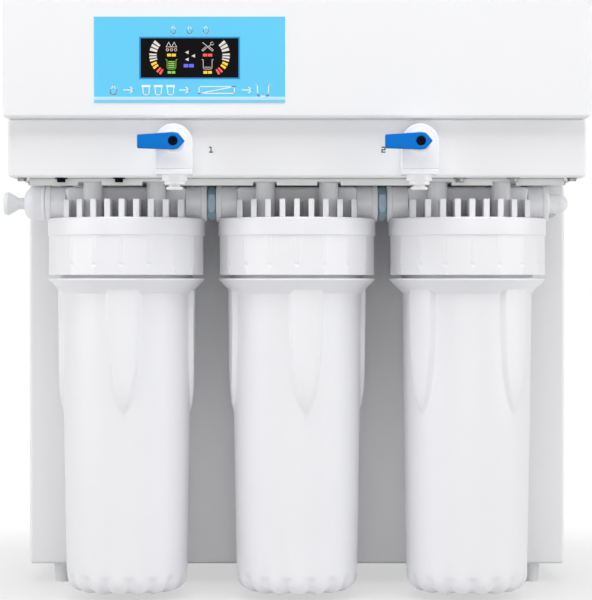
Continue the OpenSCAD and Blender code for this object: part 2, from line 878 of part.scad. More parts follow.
module sump_outside() {
    rotate_extrude() polygon(concat(
        [[0, ridge_out]], sump_edge(ridge_out),
        [[sump_low_r, ridge_h], [sump_mid_r, rib_tip], [sump_top_r, flare_z],
            [skirt_r, sump_h - rim_h], [skirt_r, sump_h], [0, sump_h]]));
    translate([0, 0, sump_h - cut]) cylinder(h = neck_top - rim_z + cut, r = neck_r);
    for (i = [0:3])
        rotate([0, 0, 90 * i]) grip_rib();
    intersection() {
        for (i = [0:ridge_count - 1])
            rotate([0, 0, (i + 0.5) * 360 / ridge_count])
                translate([0, ridge_r - sump_low_r - ridge_out / 2, 0]) cylinder(h = ridge_h, r = ridge_r);
        rotate_extrude() polygon(concat(
            [[sump_low_r - 2 * sump_round, 0]], sump_edge(0),
            [[sump_low_r - 2 * ridge_out, ridge_h], [sump_low_r - 2 * sump_round, ridge_h]]));
    }
}

module sump_inside() {
    low_r = sump_low_r - sump_wall;
    rotate_extrude() polygon([
        [0, sump_floor], [low_r - sump_round + sump_wall, sump_floor], [low_r, sump_round + 1],
        [neck_bore, flare_z], [neck_bore, neck_top - bench_gap + cut],
        [0, neck_top - bench_gap + cut]]);
}

// Sump with its neck, seal groove and cartridge seat
module sump(turn) {
    color(white_plastic) translate([0, 0, bench_gap]) {
        difference() {
            rotate([0, 0, turn]) sump_outside();
            sump_inside();
            translate([0, 0, neck_top - bench_gap]) rotate_extrude()
                translate([seal_ring_r, 0]) circle(r = seal_r + seal_clear);
        }
        translate([0, 0, sump_floor - cut]) cylinder(h = seat_h + cut, r = seat_r);
        translate([0, 0, sump_floor]) cylinder(h = seat_h + locate_l, r = locate_r);
    }
}

module sump_left() {
    at_housing(-1) sump(rib_turns[0]);
}

module sump_middle() {
    at_housing(0) sump(rib_turns[1]);
}

module sump_right() {
    at_housing(1) sump(rib_turns[2]);
}

module sump_seal() {
    color(rubber) translate([0, 0, neck_top]) rotate_extrude()
        translate([seal_ring_r, 0]) circle(r = seal_r);
}

module sump_seal_left() {
    at_housing(-1) sump_seal();
}

module sump_seal_middle() {
    at_housing(0) sump_seal();
}

module sump_seal_right() {
    at_housing(1) sump_seal();
}

// Filter cartridge with two end caps round its core
module cartridge(tint) {
    cap_h = 7;
    color(tint) translate([0, 0, cartridge_z]) difference() {
        union() {
            cylinder(h = cartridge_l, r = cartridge_r - 1.5);
            for (z = [0, cartridge_l - cap_h])
                translate([0, 0, z]) cylinder(h = cap_h, r = cartridge_r);
        }
        translate([0, 0, -cut]) cylinder(h = cartridge_l + 2 * cut, r = cartridge_bore);
    }
}

module sediment_cartridge() {
    at_housing(-1) cartridge(cream);
}

module carbon_cartridge() {
    at_housing(0) cartridge(rubber);
}

module polish_cartridge() {
    at_housing(1) cartridge(white_plastic);
}

module link_nipples() {
    color(link_grey) for (i = [-1, 0])
        at_housing(i + 0.5) translate([0, 0, port_z]) along_x() difference() {
            union() {
                cylinder(h = link_gap, r = boss_r - 0.8, center = true);
                cylinder(h = link_gap + 2 * thread_l, r = port_r - thread_clear, center = true);
            }
            cylinder(h = link_gap + 2 * thread_l + 2 * cut, r = 6, center = true);
        }
}

// Frame at the inlet port, with Z pointing out of the port
module at_inlet() {
    at_housing(-1) translate([-boss_reach, 0, port_z]) rotate([0, -90, 0]) children();
}

module inlet_bush() {
    dome_r = bush_r - 4.5;
    color(white_plastic) at_inlet() difference() {
        union() {
            rotate_extrude() polygon(concat(
                [[0, 0], [bush_r + 0.5, 0], [bush_r + 0.5, 2], [bush_r, 2.4]],
                arc([bush_r - dome_r, bush_l - dome_r], dome_r, 0, 90, 8),
                [[0, bush_l]]));
            translate([0, 0, -thread_l]) cylinder(h = thread_l + cut, r = port_r - thread_clear);
        }
        translate([0, 0, 3]) cylinder(h = bush_l, r = socket_r);
        translate([0, 0, -thread_l - cut]) cylinder(h = thread_l + bush_l, r = flow_r);
    }
}

module inlet_collet() {
    color(grey_plastic) at_inlet() rotate_extrude() polygon([
        [tube_r, 5.5], [collet_r, 5.5], [collet_r, bush_l + neck_l],
        [flare_r, bush_l + neck_l + flare_l - 3], [flare_r - 0.8, bush_l + neck_l + flare_l],
        [tube_r, bush_l + neck_l + flare_l]]);
}

module outlet_elbow() {
    pipe_l = -house_y + 14;
    color(pale_grey) at_housing(1) translate([boss_reach, 0, port_z]) difference() {
        union() {
            translate([-thread_l, 0, 0]) along_x() cylinder(h = thread_l, r = port_r - thread_clear);
            along_x() cylinder(h = elbow_out, r = elbow_r);
            translate([elbow_out, 0, 0]) sphere(r = elbow_r);
            translate([elbow_out, 0, 0]) along_y() cylinder(h = 16, r = elbow_r);
            translate([elbow_out, 0, 0]) along_y() cylinder(h = pipe_l, r = pipe_r);
        }
        translate([-thread_l - cut, 0, 0]) along_x() cylinder(h = thread_l + cut + elbow_out, r = 4);
        translate([elbow_out, 0, 0]) along_y() cylinder(h = pipe_l + cut, r = 4);
    }
}

module outlet_grommet() {
    lip = 2;
    color(rubber) place() translate([pitch + boss_reach + elbow_out, 0, port_z]) along_y()
        rotate_extrude() polygon([
            [pipe_r + pilot, -lip], [grommet_r, -lip], [grommet_r, 0], [grommet_r - 1.3, 0],
            [grommet_r - 1.3, sheet], [grommet_r, sheet], [grommet_r, sheet + lip],
            [pipe_r + pilot, sheet + lip]]);
}

// Taps

module tap_body() {
    color(white_plastic) difference() {
        union() {
            rotate([90, 0, 0]) {
                translate([-tap_w / 2, -tap_drop, 0]) cube([tap_w, tap_drop + arch_h - tap_w / 2 + 3, tap_d]);
                intersection() {
                    translate([0, arch_h - tap_w / 2, 0]) cylinder(h = tap_d, r = tap_w / 2);
                    translate([-tap_w / 2, -tap_drop, 0]) cube([tap_w, tap_drop + arch_h, tap_d]);
                }
                cylinder(h = tap_d + bonnet_h, r = bonnet_r);
            }
            along_y() cylinder(h = shank_l, r = shank_r);
        }
        translate([0, -ball_in, 0]) {
            sphere(r = ball_r + slip);
            translate([0, 0, -tap_drop - cut]) cylinder(h = tap_drop + cut, r = well_r);
            rotate([90, 0, 0]) cylinder(h = tap_d + bonnet_h, r = stem_r + tap_clear);
            along_y() cylinder(h = tap_d + shank_l, r = stem_r);
        }
    }
}

module tap_body_left() {
    at_tap(-1) tap_body();
}

module tap_body_right() {
    at_tap(1) tap_body();
}

module tap_outlet() {
    spigot_z = seat_z - seat_t;
    color(white_plastic) difference() {
        union() {
            translate([-tap_w / 2, -tap_d, plate_z]) cube([tap_w, tap_d, plate_h]);
            translate([0, -ball_in, 0]) {
                translate([0, 0, plate_z - step_h[0]]) cylinder(h = step_h[0] + cut, r = step_r[0]);
                translate([0, 0, step_z]) cylinder(h = step_h[1] + cut, r = step_r[1]);
                translate([0, 0, plate_z + cut]) cylinder(h = spigot_z - plate_z - cut, r = well_r - 0.2);
            }
        }
        translate([0, -ball_in, step_z - cut]) {
            cylinder(h = socket_z - step_z + cut, r = socket_r);
            cylinder(h = tap_drop + tap_d, r = flow_r);
        }
    }
}

module tap_outlet_left() {
    at_tap(-1) tap_outlet();
}

module tap_outlet_right() {
    at_tap(1) tap_outlet();
}

module tap_collet() {
    collet_l = socket_z - collet_z - collet_gap - 0.5;
    color(white_plastic) translate([0, -ball_in, collet_z]) difference() {
        union() {
            cylinder(h = collet_flange, r = collet_r + 1.9);
            cylinder(h = collet_l, r = collet_r);
        }
        translate([0, 0, -cut]) cylinder(h = collet_l + 2 * cut, r = tube_r);
    }
}

module tap_collet_left() {
    at_tap(-1) tap_collet();
}

module tap_collet_right() {
    at_tap(1) tap_collet();
}

module tap_nuts() {
    color(white_plastic) for (s = [-1, 1])
        at_tap(s) translate([0, sheet, 0]) along_y() difference() {
            cylinder(h = nut_h, r = nut_r, $fn = 6);
            translate([0, 0, -cut]) cylinder(h = nut_h + 2 * cut, r = shank_r + pilot);
        }
}

module tap_seats() {
    color(cream) for (s = [-1, 1])
        at_tap(s) translate([0, -ball_in, seat_z - seat_t]) difference() {
            cylinder(h = seat_t, r = well_r - 0.2);
            translate([0, 0, -cut]) cylinder(h = seat_t + 2 * cut, r = seat_in);
        }
}

// Lever with a tapered handle and a pointed nose
module tap_lever() {
    nose_x = lever_tip - 5;
    nose_z = lever_hub / 2 - 0.6;
    color(lever_blue) rotate([90, 0, 0]) difference() {
        translate([0, 0, lever_y]) {
            linear_extrude(lever_t) polygon([
                [-lever_l, -lever_end / 2 - 0.4], [0, -lever_hub / 2], [nose_x, -nose_z],
                [lever_tip, 0], [nose_x, nose_z], [0, lever_hub / 2],
                [-lever_l, lever_end / 2 - 0.4]]);
        }
        translate([0, 0, lever_y - cut]) cylinder(h = recess_d + cut, r = tip_r + pilot / 2);
        translate([0, 0, lever_y]) cylinder(h = lever_t, r = 1.6);
        translate([0, 0, lever_y + lever_t - recess_d]) cylinder(h = recess_d + cut, r = recess_r);
    }
}

module tap_lever_left() {
    at_tap(-1) tap_lever();
}

module tap_lever_right() {
    at_tap(1) tap_lever();
}

// Ball with its stem; the passage turns from the side to the outlet
module tap_ball() {
    color(steel) difference() {
        rotate([90, 0, 0]) {
            translate([0, 0, ball_in]) sphere(r = ball_r);
            translate([0, 0, ball_in]) cylinder(h = lever_y - ball_in, r = stem_r);
            translate([0, 0, ball_in]) cylinder(h = lever_y + recess_d - ball_in, r = tip_r);
        }
        translate([0, -ball_in, 0]) {
            along_y() cylinder(h = ball_r + cut, r = flow_r);
            rotate([0, -90, 0]) cylinder(h = ball_r + cut, r = flow_r);
            sphere(r = flow_r);
        }
        translate([0, -lever_y + 5, 0]) rotate([90, 0, 0]) cylinder(h = recess_d + 5 + cut, r = 1.5);
    }
}

module tap_ball_left() {
    at_tap(-1) tap_ball();
}

module tap_ball_right() {
    at_tap(1) tap_ball();
}

module lever_screw() {
    color(steel) rotate([90, 0, 0]) {
        translate([0, 0, lever_y + lever_t - recess_d]) difference() {
            cylinder(h = 2, r = recess_r - 0.5);
            translate([0, 0, 0.8]) cylinder(h = 2, r = 1.3, $fn = 6);
        }
        translate([0, 0, lever_y - 4]) cylinder(h = lever_t - recess_d + 4.4, r = 1.4);
    }
}

module lever_screw_left() {
    at_tap(-1) lever_screw();
}

module lever_screw_right() {
    at_tap(1) lever_screw();
}

// Inside the cabinet

module pump_motor() {
    bell = 12;
    fin_out = 0.8;
    fin_root = 0.6;
    fin_w = 2;
    fin_short = 60;
    color(steel) place() translate([motor_x, motor_y, motor_z]) along_x() {
        cylinder(h = bell, r1 = motor_r - bell, r2 = motor_r);
        translate([0, 0, bell]) cylinder(h = motor_l - bell, r = motor_r);
        for (a = [0:30:330])
            rotate([0, 0, a]) translate([motor_r - fin_root, -fin_w / 2, 2 * bell])
                cube([fin_root + fin_out, fin_w, motor_l - bell - fin_short]);
    }
}

module pump_head() {
    flange_t = 8;
    flange_step = 6;
    nozzle_r = 8;
    nozzle_bore = 5;
    nozzle_side = 20;
    nozzle_up = 8;
    nozzle_in = 18;
    color(black) place() translate([motor_x + motor_l, motor_y, motor_z]) {
        along_x() cylinder(h = flange_t, r = motor_r);
        along_x() cylinder(h = pump_head_l, r = motor_r - flange_step);
        for (s = [-1, 1])
            translate([pump_head_l - nozzle_in, s * nozzle_side, 0]) difference() {
                cylinder(h = motor_r + nozzle_up, r = nozzle_r);
                translate([0, 0, motor_r - nozzle_up]) cylinder(h = 2 * nozzle_up + cut, r = nozzle_bore);
            }
    }
}

module pump_mounts() {
    plate_out = 5;
    plate_spare = 20;
    plate_w = motor_l + plate_spare;
    saddle_t = 18;
    saddle_in = 6;
    saddle_up = 14;
    front_in = 22;
    rear_in = 16;
    fin_room = 1;
    color(rubber) place() difference() {
        translate([motor_x - plate_out, motor_y, floor_z]) {
            translate([0, -motor_r, 0]) cube([plate_w, 2 * motor_r, mount_plate]);
            for (x = [front_in, motor_l - saddle_t - rear_in])
                translate([x, -motor_r + saddle_in, 0])
                    cube([saddle_t, 2 * (motor_r - saddle_in), mount_h + mount_plate + saddle_up]);
        }
        translate([motor_x - plate_out - cut, motor_y, motor_z])
            along_x() cylinder(h = plate_w + 2 * cut, r = motor_r + fin_room);
    }
}

module at_membranes() {
    for (i = [0, 1])
        translate([membrane_x, membrane_y, membrane_z + i * membrane_pitch]) children();
}

module membrane_housings() {
    color(white_plastic) place() at_membranes() along_x() difference() {
        cylinder(h = membrane_l, r = membrane_r);
        translate([0, 0, -cut]) cylinder(h = membrane_l + 2 * cut, r = membrane_r - membrane_wall);
    }
}

module membrane_caps() {
    nose_l = 12;
    chamfer = 6;
    color(white_plastic) place() at_membranes() for (x = [0, membrane_l])
        translate([x, 0, 0]) rotate([0, x == 0 ? -90 : 90, 0]) {
            cylinder(h = membrane_cap_l - nose_l, r = membrane_cap_r);
            translate([0, 0, membrane_cap_l - nose_l])
                cylinder(h = chamfer, r1 = membrane_cap_r, r2 = membrane_cap_r - chamfer);
            cylinder(h = membrane_cap_l, r = membrane_port_r);
        }
}

module membrane_elements() {
    color(cream) place() at_membranes() along_x() difference() {
        cylinder(h = membrane_l, r = membrane_r - membrane_wall - slip);
        translate([0, 0, -cut]) cylinder(h = membrane_l + 2 * cut, r = membrane_port_r);
    }
}

module membrane_clips() {
    clip_w = 14;
    clip_in = 30;
    clip_wall = 2.4;
    clip_r = membrane_r + clip_wall;
    base_d = 20;
    base_h = 28;
    color(white_plastic) place() at_membranes() for (x = [clip_in, membrane_l - clip_in - clip_w])
        translate([x, 0, 0]) difference() {
            union() {
                along_x() cylinder(h = clip_w, r = clip_r);
                translate([0, sheet - membrane_y, -base_h / 2]) cube([clip_w, base_d, base_h]);
            }
            translate([-cut, 0, 0]) along_x() cylinder(h = clip_w + 2 * cut, r = membrane_r + pilot);
            translate([-cut, membrane_r / 2, -clip_r]) cube([clip_w + 2 * cut, clip_r, 2 * clip_r]);
        }
}

module resin_column() {
    cap_h = 24;
    cap_step = 3;
    nozzle_side = 18;
    nozzle_h = 12;
    nozzle_r = 7;
    color(white_plastic) place() translate([column_x, column_y, floor_z]) {
        cylinder(h = column_h, r = column_r - cap_step);
        cylinder(h = cap_h, r = column_r);
        translate([0, 0, column_h - cap_h]) cylinder(h = cap_h, r = column_r);
        for (s = [-1, 1])
            translate([s * nozzle_side, 0, column_h]) cylinder(h = nozzle_h, r = nozzle_r);
    }
}

module solenoid_valves() {
    coil = 30;
    coil_h = 36;
    coil_gap = 6;
    first_y = 30;
    plate_t = 2;
    plate_h = 58;
    plate_drop = 12;
    body_r = 11;
    body_h = 16;
    nozzle_r = 5;
    nozzle_out = 2;
    nozzle_drop = 9;
    color(black) place() for (i = [0, 1])
        translate([valve_x, cabinet_d / 2 + first_y + i * (coil + coil_gap), valve_z]) {
            translate([0, -coil / 2, -plate_drop]) cube([plate_t, coil, plate_h]);
            translate([plate_t, -coil / 2, 0]) cube([coil, coil, coil_h]);
            translate([plate_t + coil / 2, 0, -body_h]) cylinder(h = body_h, r = body_r);
            translate([plate_t + coil / 2, -coil / 2 - nozzle_out, -nozzle_drop])
                along_y() cylinder(h = coil + 2 * nozzle_out, r = nozzle_r);
        }
}

module rear_ports() {
    inner_l = 14;
    inner_nut_h = 5;
    wall = 2.6;
    color(white_plastic) place() for (x = stub_x)
        translate([x, rear_y, entry_z]) along_y() difference() {
            union() {
                cylinder(h = stub_flange, r = 1.8 * stub_r, $fn = 6);
                translate([0, 0, -inner_l]) cylinder(h = inner_l + stub_flange + stub_l, r = stub_r);
                translate([0, 0, -sheet - inner_nut_h]) cylinder(h = inner_nut_h, r = 1.7 * stub_r, $fn = 6);
            }
            translate([0, 0, -inner_l - cut])
                cylinder(h = inner_l + stub_flange + stub_l + 2 * cut, r = stub_r - wall);
        }
}

// Power inlet with its switch recess and contact pins
module power_entry() {
    body_w = entry_w - 2 * entry_wall - 0.4;
    body_h = entry_h - 2 * entry_wall - 0.4;
    well = [24.4, 16, 16.8];
    recess = [rocker_w + 2 * rocker_gap, 12, rocker_h + 3];
    color(black) place() {
        difference() {
            union() {
                translate([entry_x - entry_w / 2, rear_y, entry_z - entry_h / 2])
                    cube([entry_w, entry_bezel, entry_h]);
                translate([entry_x - body_w / 2, rear_y - entry_body_d, entry_z - body_h / 2])
                    cube([body_w, entry_body_d + cut, body_h]);
            }
            translate([entry_x - well[0] / 2, rear_y + entry_bezel - well[1],
                entry_z - inlet_drop - well[2] / 2])
                cube([well[0], well[1] + cut, well[2]]);
            translate([entry_x - recess[0] / 2, rear_y + entry_bezel - recess[1], rocker_z - recess[2] / 2])
                cube([recess[0], recess[1] + cut, recess[2]]);
            translate([entry_x, rocker_y, rocker_z])
                along_x() cylinder(h = rocker_w + 5, r = rocker_pin + 0.05, center = true);
        }
        for (p = [[-7, -2], [0, 2], [7, -2]])
            translate([entry_x + p[0] - 1, rear_y + entry_bezel - well[1] - cut,
                entry_z - inlet_drop + p[1] - 2])
                cube([2, well[1] - 2, 4]);
    }
}

module switch_rocker() {
    half_h = rocker_h / 2;
    color(rubber) place() translate([entry_x, rocker_y, rocker_z]) rotate([-rocker_tilt, 0, 0]) {
        rotate([90, 0, 90]) translate([0, 0, -rocker_w / 2]) linear_extrude(rocker_w)
            polygon([[-4, -half_h + 1], [4.4, -half_h], [2.6, 0], [4.4, half_h], [-4, half_h - 1]]);
        along_x() cylinder(h = rocker_w + 4, r = rocker_pin, center = true);
    }
}

lower_cabinet();
rear_cover();
cover_screws();
head_tray();
head_cover();
filter_bracket();
bracket_screws();
underside_screws();
feet();
control_overlay();
display_window();
display_board();
control_board();
board_posts();
power_supply();
filter_head_left();
filter_head_middle();
filter_head_right();
head_screws();
link_nipples();
inlet_bush();
inlet_collet();
outlet_elbow();
outlet_grommet();
sump_left();
sump_middle();
sump_right();
sump_seal_left();
sump_seal_middle();
sump_seal_right();
sediment_cartridge();
carbon_cartridge();
polish_cartridge();
tap_body_left();
tap_body_right();
tap_outlet_left();
tap_outlet_right();
tap_collet_left();
tap_collet_right();
tap_nuts();
tap_lever_left();
tap_lever_right();
tap_ball_left();
tap_ball_right();
lever_screw_left();
lever_screw_right();
tap_seats();
pump_motor();
pump_head();
pump_mounts();
membrane_housings();
membrane_caps();
membrane_elements();
membrane_clips();
resin_column();
solenoid_valves();
rear_ports();
power_entry();
switch_rocker();
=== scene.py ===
"""Looks of a laboratory reverse osmosis system, laid out as an add-on and run as a script."""

import json
import math

import bpy
from bpy.props import FloatProperty, FloatVectorProperty, IntProperty, PointerProperty
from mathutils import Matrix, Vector


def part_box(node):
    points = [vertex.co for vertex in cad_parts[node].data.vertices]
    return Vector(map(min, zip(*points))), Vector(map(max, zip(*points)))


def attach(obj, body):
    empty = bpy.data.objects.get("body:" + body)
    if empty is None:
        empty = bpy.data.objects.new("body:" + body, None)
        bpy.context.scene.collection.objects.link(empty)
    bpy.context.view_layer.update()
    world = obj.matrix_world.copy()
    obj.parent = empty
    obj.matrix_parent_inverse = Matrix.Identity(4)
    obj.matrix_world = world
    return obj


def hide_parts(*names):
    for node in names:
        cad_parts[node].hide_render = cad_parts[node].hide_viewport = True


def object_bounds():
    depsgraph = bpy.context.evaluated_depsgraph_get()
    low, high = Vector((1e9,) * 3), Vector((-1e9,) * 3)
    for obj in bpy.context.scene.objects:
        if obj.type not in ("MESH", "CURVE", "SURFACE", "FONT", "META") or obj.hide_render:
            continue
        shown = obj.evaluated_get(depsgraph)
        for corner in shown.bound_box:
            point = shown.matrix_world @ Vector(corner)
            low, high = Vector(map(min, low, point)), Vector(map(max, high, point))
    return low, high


bl_info = {
    "name": "Reverse osmosis bench unit",
    "version": (1, 0, 0),
    "blender": (4, 5, 0),
    "location": "View3D > Sidebar > Purifier",
    "description": "Dresses the frame of a water purifier with its finishes, moulded pieces and display",
    "category": "Object",
}

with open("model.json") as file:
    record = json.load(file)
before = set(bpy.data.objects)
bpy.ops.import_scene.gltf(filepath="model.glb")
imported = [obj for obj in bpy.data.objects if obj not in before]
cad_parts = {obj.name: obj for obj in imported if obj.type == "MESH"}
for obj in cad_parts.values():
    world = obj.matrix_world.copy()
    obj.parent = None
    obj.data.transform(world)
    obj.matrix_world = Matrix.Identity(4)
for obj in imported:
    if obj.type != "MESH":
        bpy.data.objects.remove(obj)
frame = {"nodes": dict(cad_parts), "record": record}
CAD_LOW, CAD_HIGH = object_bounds()
NODES = frame["nodes"]
SLOT_OF = {part["node"]: part["material_slot"] for part in frame["record"]["subparts"]}
BODY_OF = {n: body for body, nodes in frame["record"]["behaviour"]["bodies"].items() for n in nodes}

MM = 0.001
MICRON = 0.001 * MM
MERGE = 2 * MICRON
FLAT = math.radians(0.5)
ALIGNED = 0.99
IMAGE_WIDTH = 592
IMAGE_HEIGHT = 600
LEFT_TO_RIGHT = ("left", "middle", "right")
TAP_SIDES = ("left", "right")
WHITE = (1.0, 1.0, 1.0)
UP = (0, 0, 1)
DOWN = (0, 0, -1)
BACK = (0, 1, 0)
FRONT = (0, -1, 0)


def srgb(red, green, blue):
    """Linear colour of a display colour whose channels run from 0 to 255."""
    channels = (red / 255, green / 255, blue / 255)
    return tuple(c / 12.92 if c <= 0.04045 else ((c + 0.055) / 1.055) ** 2.4 for c in channels)


def colour_setting(name, description, *default):
    """A colour that a user would change."""
    return FloatVectorProperty(
        name=name, description=description, subtype="COLOR", size=3, min=0, max=1, default=srgb(*default)
    )


def length_setting(name, description, millimetres):
    """A length that a user would change, given in millimetres."""
    return FloatProperty(
        name=name, description=description, subtype="DISTANCE", unit="LENGTH", min=0, default=millimetres * MM
    )


def power_setting(name, description, watts):
    """A lamp's power that a user would change."""
    return FloatProperty(name=name, description=description, unit="POWER", min=0, default=watts)


class PurifierColours(bpy.types.PropertyGroup):
    """Colours of the finishes."""

    coat: colour_setting("Powder coat", "White coat of the cabinet and the head", 246, 246, 248)
    plastic: colour_setting("Housing plastic", "White plastic of the filter housings", 243, 243, 246)
    tap: colour_setting("Tap plastic", "White plastic of the taps", 250, 250, 252)
    lever: colour_setting("Lever", "Blue plastic of the tap levers", 0, 118, 210)
    film: colour_setting("Panel film", "Blue print of the control panel", 98, 207, 247)
    stripe: colour_setting("Panel stripe", "Pale stripe along the control panel", 196, 238, 252)
    band: colour_setting("Panel band", "Band under the control panel's stripe", 150, 208, 238)
    display: colour_setting("Display", "Smoked display window", 10, 8, 10)
    link: colour_setting("Link", "Blue-grey links between the filter heads", 152, 180, 194)


class PurifierSizes(bpy.types.PropertyGroup):
    """Sizes of the modelled pieces that the frame doesn't give."""

    sheet: length_setting("Sheet", "Thickness of the folded sheet", 1.2)
    fold: length_setting("Fold radius", "Outside radius of the folded edges", 2.4)
    flange: length_setting("Flange", "Width of the turned-in flanges", 16)
    panels: IntProperty(name="Skirt panels", description="Panels round a filter head", min=12, default=18)
    ribs: IntProperty(name="Grip ribs", description="Grip ribs round a sump", min=2, default=4)
    lobes: IntProperty(name="Bottom lobes", description="Lobes round a sump's bottom", min=8, default=16)


class PurifierStudio(bpy.types.PropertyGroup):
    """Camera and lamps."""

    focal: FloatProperty(
        name="Focal length", description="In pixels of the image", subtype="PIXEL", min=100, default=2270
    )
    distance: length_setting("Distance", "From the camera to the front of the head cover", 1672)
    eye: length_setting("Eye height", "Height of the camera above the bench", 248)
    side_power: power_setting("Side lamps", "Power of each side lamp", 7.8)
    top_power: power_setting("Top lamp", "Power of the top lamp", 15.5)
    front_power: power_setting("Front lamp", "Power of the front lamp", 4.4)
    rear_power: power_setting("Rear lamp", "Power of the rear lamp", 13)
    ambient: FloatProperty(
        name="Ambient", description="Light from all round", subtype="FACTOR", min=0, max=1, default=0.28
    )


class Signal:
    """A shader socket with arithmetic: an expression on signals adds its Math nodes."""

    def __init__(self, finish, socket):
        self.finish = finish
        self.socket = socket

    def math(self, operation, *values):
        return self.finish.node("ShaderNodeMath", {"operation": operation}, dict(enumerate(values)))

    def __add__(self, other):
        return self.math("ADD", self, other)

    __radd__ = __add__

    def __mul__(self, other):
        return self.math("MULTIPLY", self, other)

    __rmul__ = __mul__

    def __sub__(self, other):
        return self.math("SUBTRACT", self, other)

    def __rsub__(self, other):
        return self.math("SUBTRACT", other, self)

    def largest(self, other):
        return self.math("MAXIMUM", self, other)

    def rise(self, start, end):
        """A smooth step from 0 at the start to 1 at the end."""
        return self.finish.node(
            "ShaderNodeMapRange",
            {"interpolation_type": "SMOOTHSTEP"},
            {"Value": self, "From Min": start, "From Max": end},
        )


class Finish:
    """The nodes of a new material, on object coordinates, or those of the world."""

    def __init__(self, holder=None):
        self.holder = holder or bpy.data.materials.new("finish")
        self.holder.use_nodes = True
        self.tree = self.holder.node_tree
        self.tree.nodes.clear()
        self.place = self.node("ShaderNodeTexCoord", output="Object")

    def node(self, kind, settings=None, inputs=None, output=0):
        """Adds a node: its settings first, then the values or links of its sockets."""
        made = self.tree.nodes.new(kind)
        for key, value in (settings or {}).items():
            setattr(made, key, value)
        for key, value in (inputs or {}).items():
            self.feed(made.inputs[key], value)
        return Signal(self, made.outputs[output]) if made.outputs else made

    def feed(self, socket, value):
        """Links a signal to a socket, or sets the socket's own value."""
        if isinstance(value, Signal):
            self.tree.links.new(value.socket, socket)
        elif socket.type == "RGBA":
            socket.default_value = (*value, 1.0)
        else:
            socket.default_value = value

    def axis(self, letter):
        """One coordinate of the surface point, in metres."""
        return self.node("ShaderNodeSeparateXYZ", None, {0: self.place}, letter)

    def noise(self, waves, detail, stretch=(1.0, 1.0, 1.0)):
        """Noise from 0 to 1, with so many waves in a metre along each axis."""
        vector = self.node(
            "ShaderNodeMapping", None, {"Vector": self.place, "Scale": tuple(waves * s for s in stretch)}
        )
        return self.node("ShaderNodeTexNoise", None, {"Vector": vector, "Scale": 1.0, "Detail": detail})

    def blend(self, factor, first, second):
        """A colour from the first to the second."""
        return self.node("ShaderNodeMix", {"data_type": "RGBA"}, {0: factor, 6: first, 7: second}, 2)

    def shade(self, colour, signal, amount):
        """A colour whose tone drifts by an amount to both sides."""
        dark = tuple(c * (1 - amount) for c in colour)
        pale = tuple(min(1.0, c * (1 + amount)) for c in colour)
        return self.blend(signal, dark, pale)

    def bump(self, height, depth):
        """The normal of a surface whose height signal stands for a depth in metres."""
        return self.node("ShaderNodeBump", None, {"Height": height, "Strength": 1.0, "Distance": depth})

    def surface(self, **values):
        """Closes the material with a Principled surface; names hold _ for a space."""
        sockets = {key.replace("_", " "): value for key, value in values.items()}
        shader = self.node("ShaderNodeBsdfPrincipled", None, sockets)
        self.node("ShaderNodeOutputMaterial", None, {"Surface": shader})
        return self.holder

    def looked_at(self):
        """1 for rays of the camera, a reflection or a clear piece, and 0 for light on a surface."""
        kinds = ("Is Camera Ray", "Is Glossy Ray", "Is Transmission Ray")
        camera, glossy, clear = (self.node("ShaderNodeLightPath", output=kind) for kind in kinds)
        return camera.largest(glossy).largest(clear)


def moulded(colour, roughness, grain_depth=12 * MICRON, coat=0.0, shine=0.5):
    """Injection-moulded plastic: a fine texture, slow ripples of sink and a drift of tone."""
    finish = Finish()
    grain = finish.noise(waves=1500, detail=3)
    sink = finish.noise(waves=35, detail=1, stretch=(1.0, 1.0, 0.35))
    tone = finish.noise(waves=14, detail=2)
    return finish.surface(
        Base_Color=finish.shade(colour, tone, amount=0.02),
        Roughness=roughness - 0.06 + 0.08 * grain + 0.05 * sink,
        Specular_IOR_Level=shine,
        Coat_Weight=coat,
        Coat_Roughness=0.12,
        Normal=finish.bump(grain + 3 * sink, grain_depth),
    )


def powder_coat(colour, roughness, shine=0.5):
    """Powder coat: the ripple of a sprayed coat, with tiny specks and a drift of tone."""
    finish = Finish()
    peel = finish.noise(waves=700, detail=2)
    speck = finish.noise(waves=2600, detail=1).rise(0.66, 0.74)
    tone = finish.noise(waves=6, detail=2)
    return finish.surface(
        Base_Color=finish.shade(colour, tone - 0.12 * speck, amount=0.018),
        Roughness=roughness + 0.1 * peel + 0.05 * speck,
        Specular_IOR_Level=shine,
        Normal=finish.bump(peel, depth=10 * MICRON),
    )


def metal(colour, roughness, stretch):
    """Worked metal: fine lines along the working direction and a drift of tone."""
    finish = Finish()
    lines = finish.noise(waves=900, detail=3, stretch=stretch)
    tone = finish.noise(waves=60, detail=2)
    return finish.surface(
        Base_Color=finish.shade(colour, tone, amount=0.12),
        Metallic=1.0,
        Roughness=roughness - 0.1 + 0.2 * lines,
        Normal=finish.bump(lines, depth=8 * MICRON),
    )


def media(colour, waves, depth):
    """Filter media: a rough felted or pressed surface."""
    finish = Finish()
    fibres = finish.noise(waves=waves, detail=6, stretch=(1.0, 1.0, 0.5))
    return finish.surface(
        Base_Color=finish.shade(colour, fibres, amount=0.18),
        Roughness=0.75 + 0.2 * fibres,
        Normal=finish.bump(fibres, depth),
    )


def circuit_board(colour, copper):
    """Solder mask over a grid of copper tracks."""
    finish = Finish()
    tracks = finish.noise(waves=300, detail=0, stretch=(1.0, 1.0, 0.1)).rise(0.52, 0.55)
    tone = finish.noise(waves=40, detail=2)
    return finish.surface(
        Base_Color=finish.blend(0.35 * tracks + 0.1 * tone, colour, copper),
        Roughness=0.35 + 0.1 * tone,
        Normal=finish.bump(tracks, depth=30 * MICRON),
    )


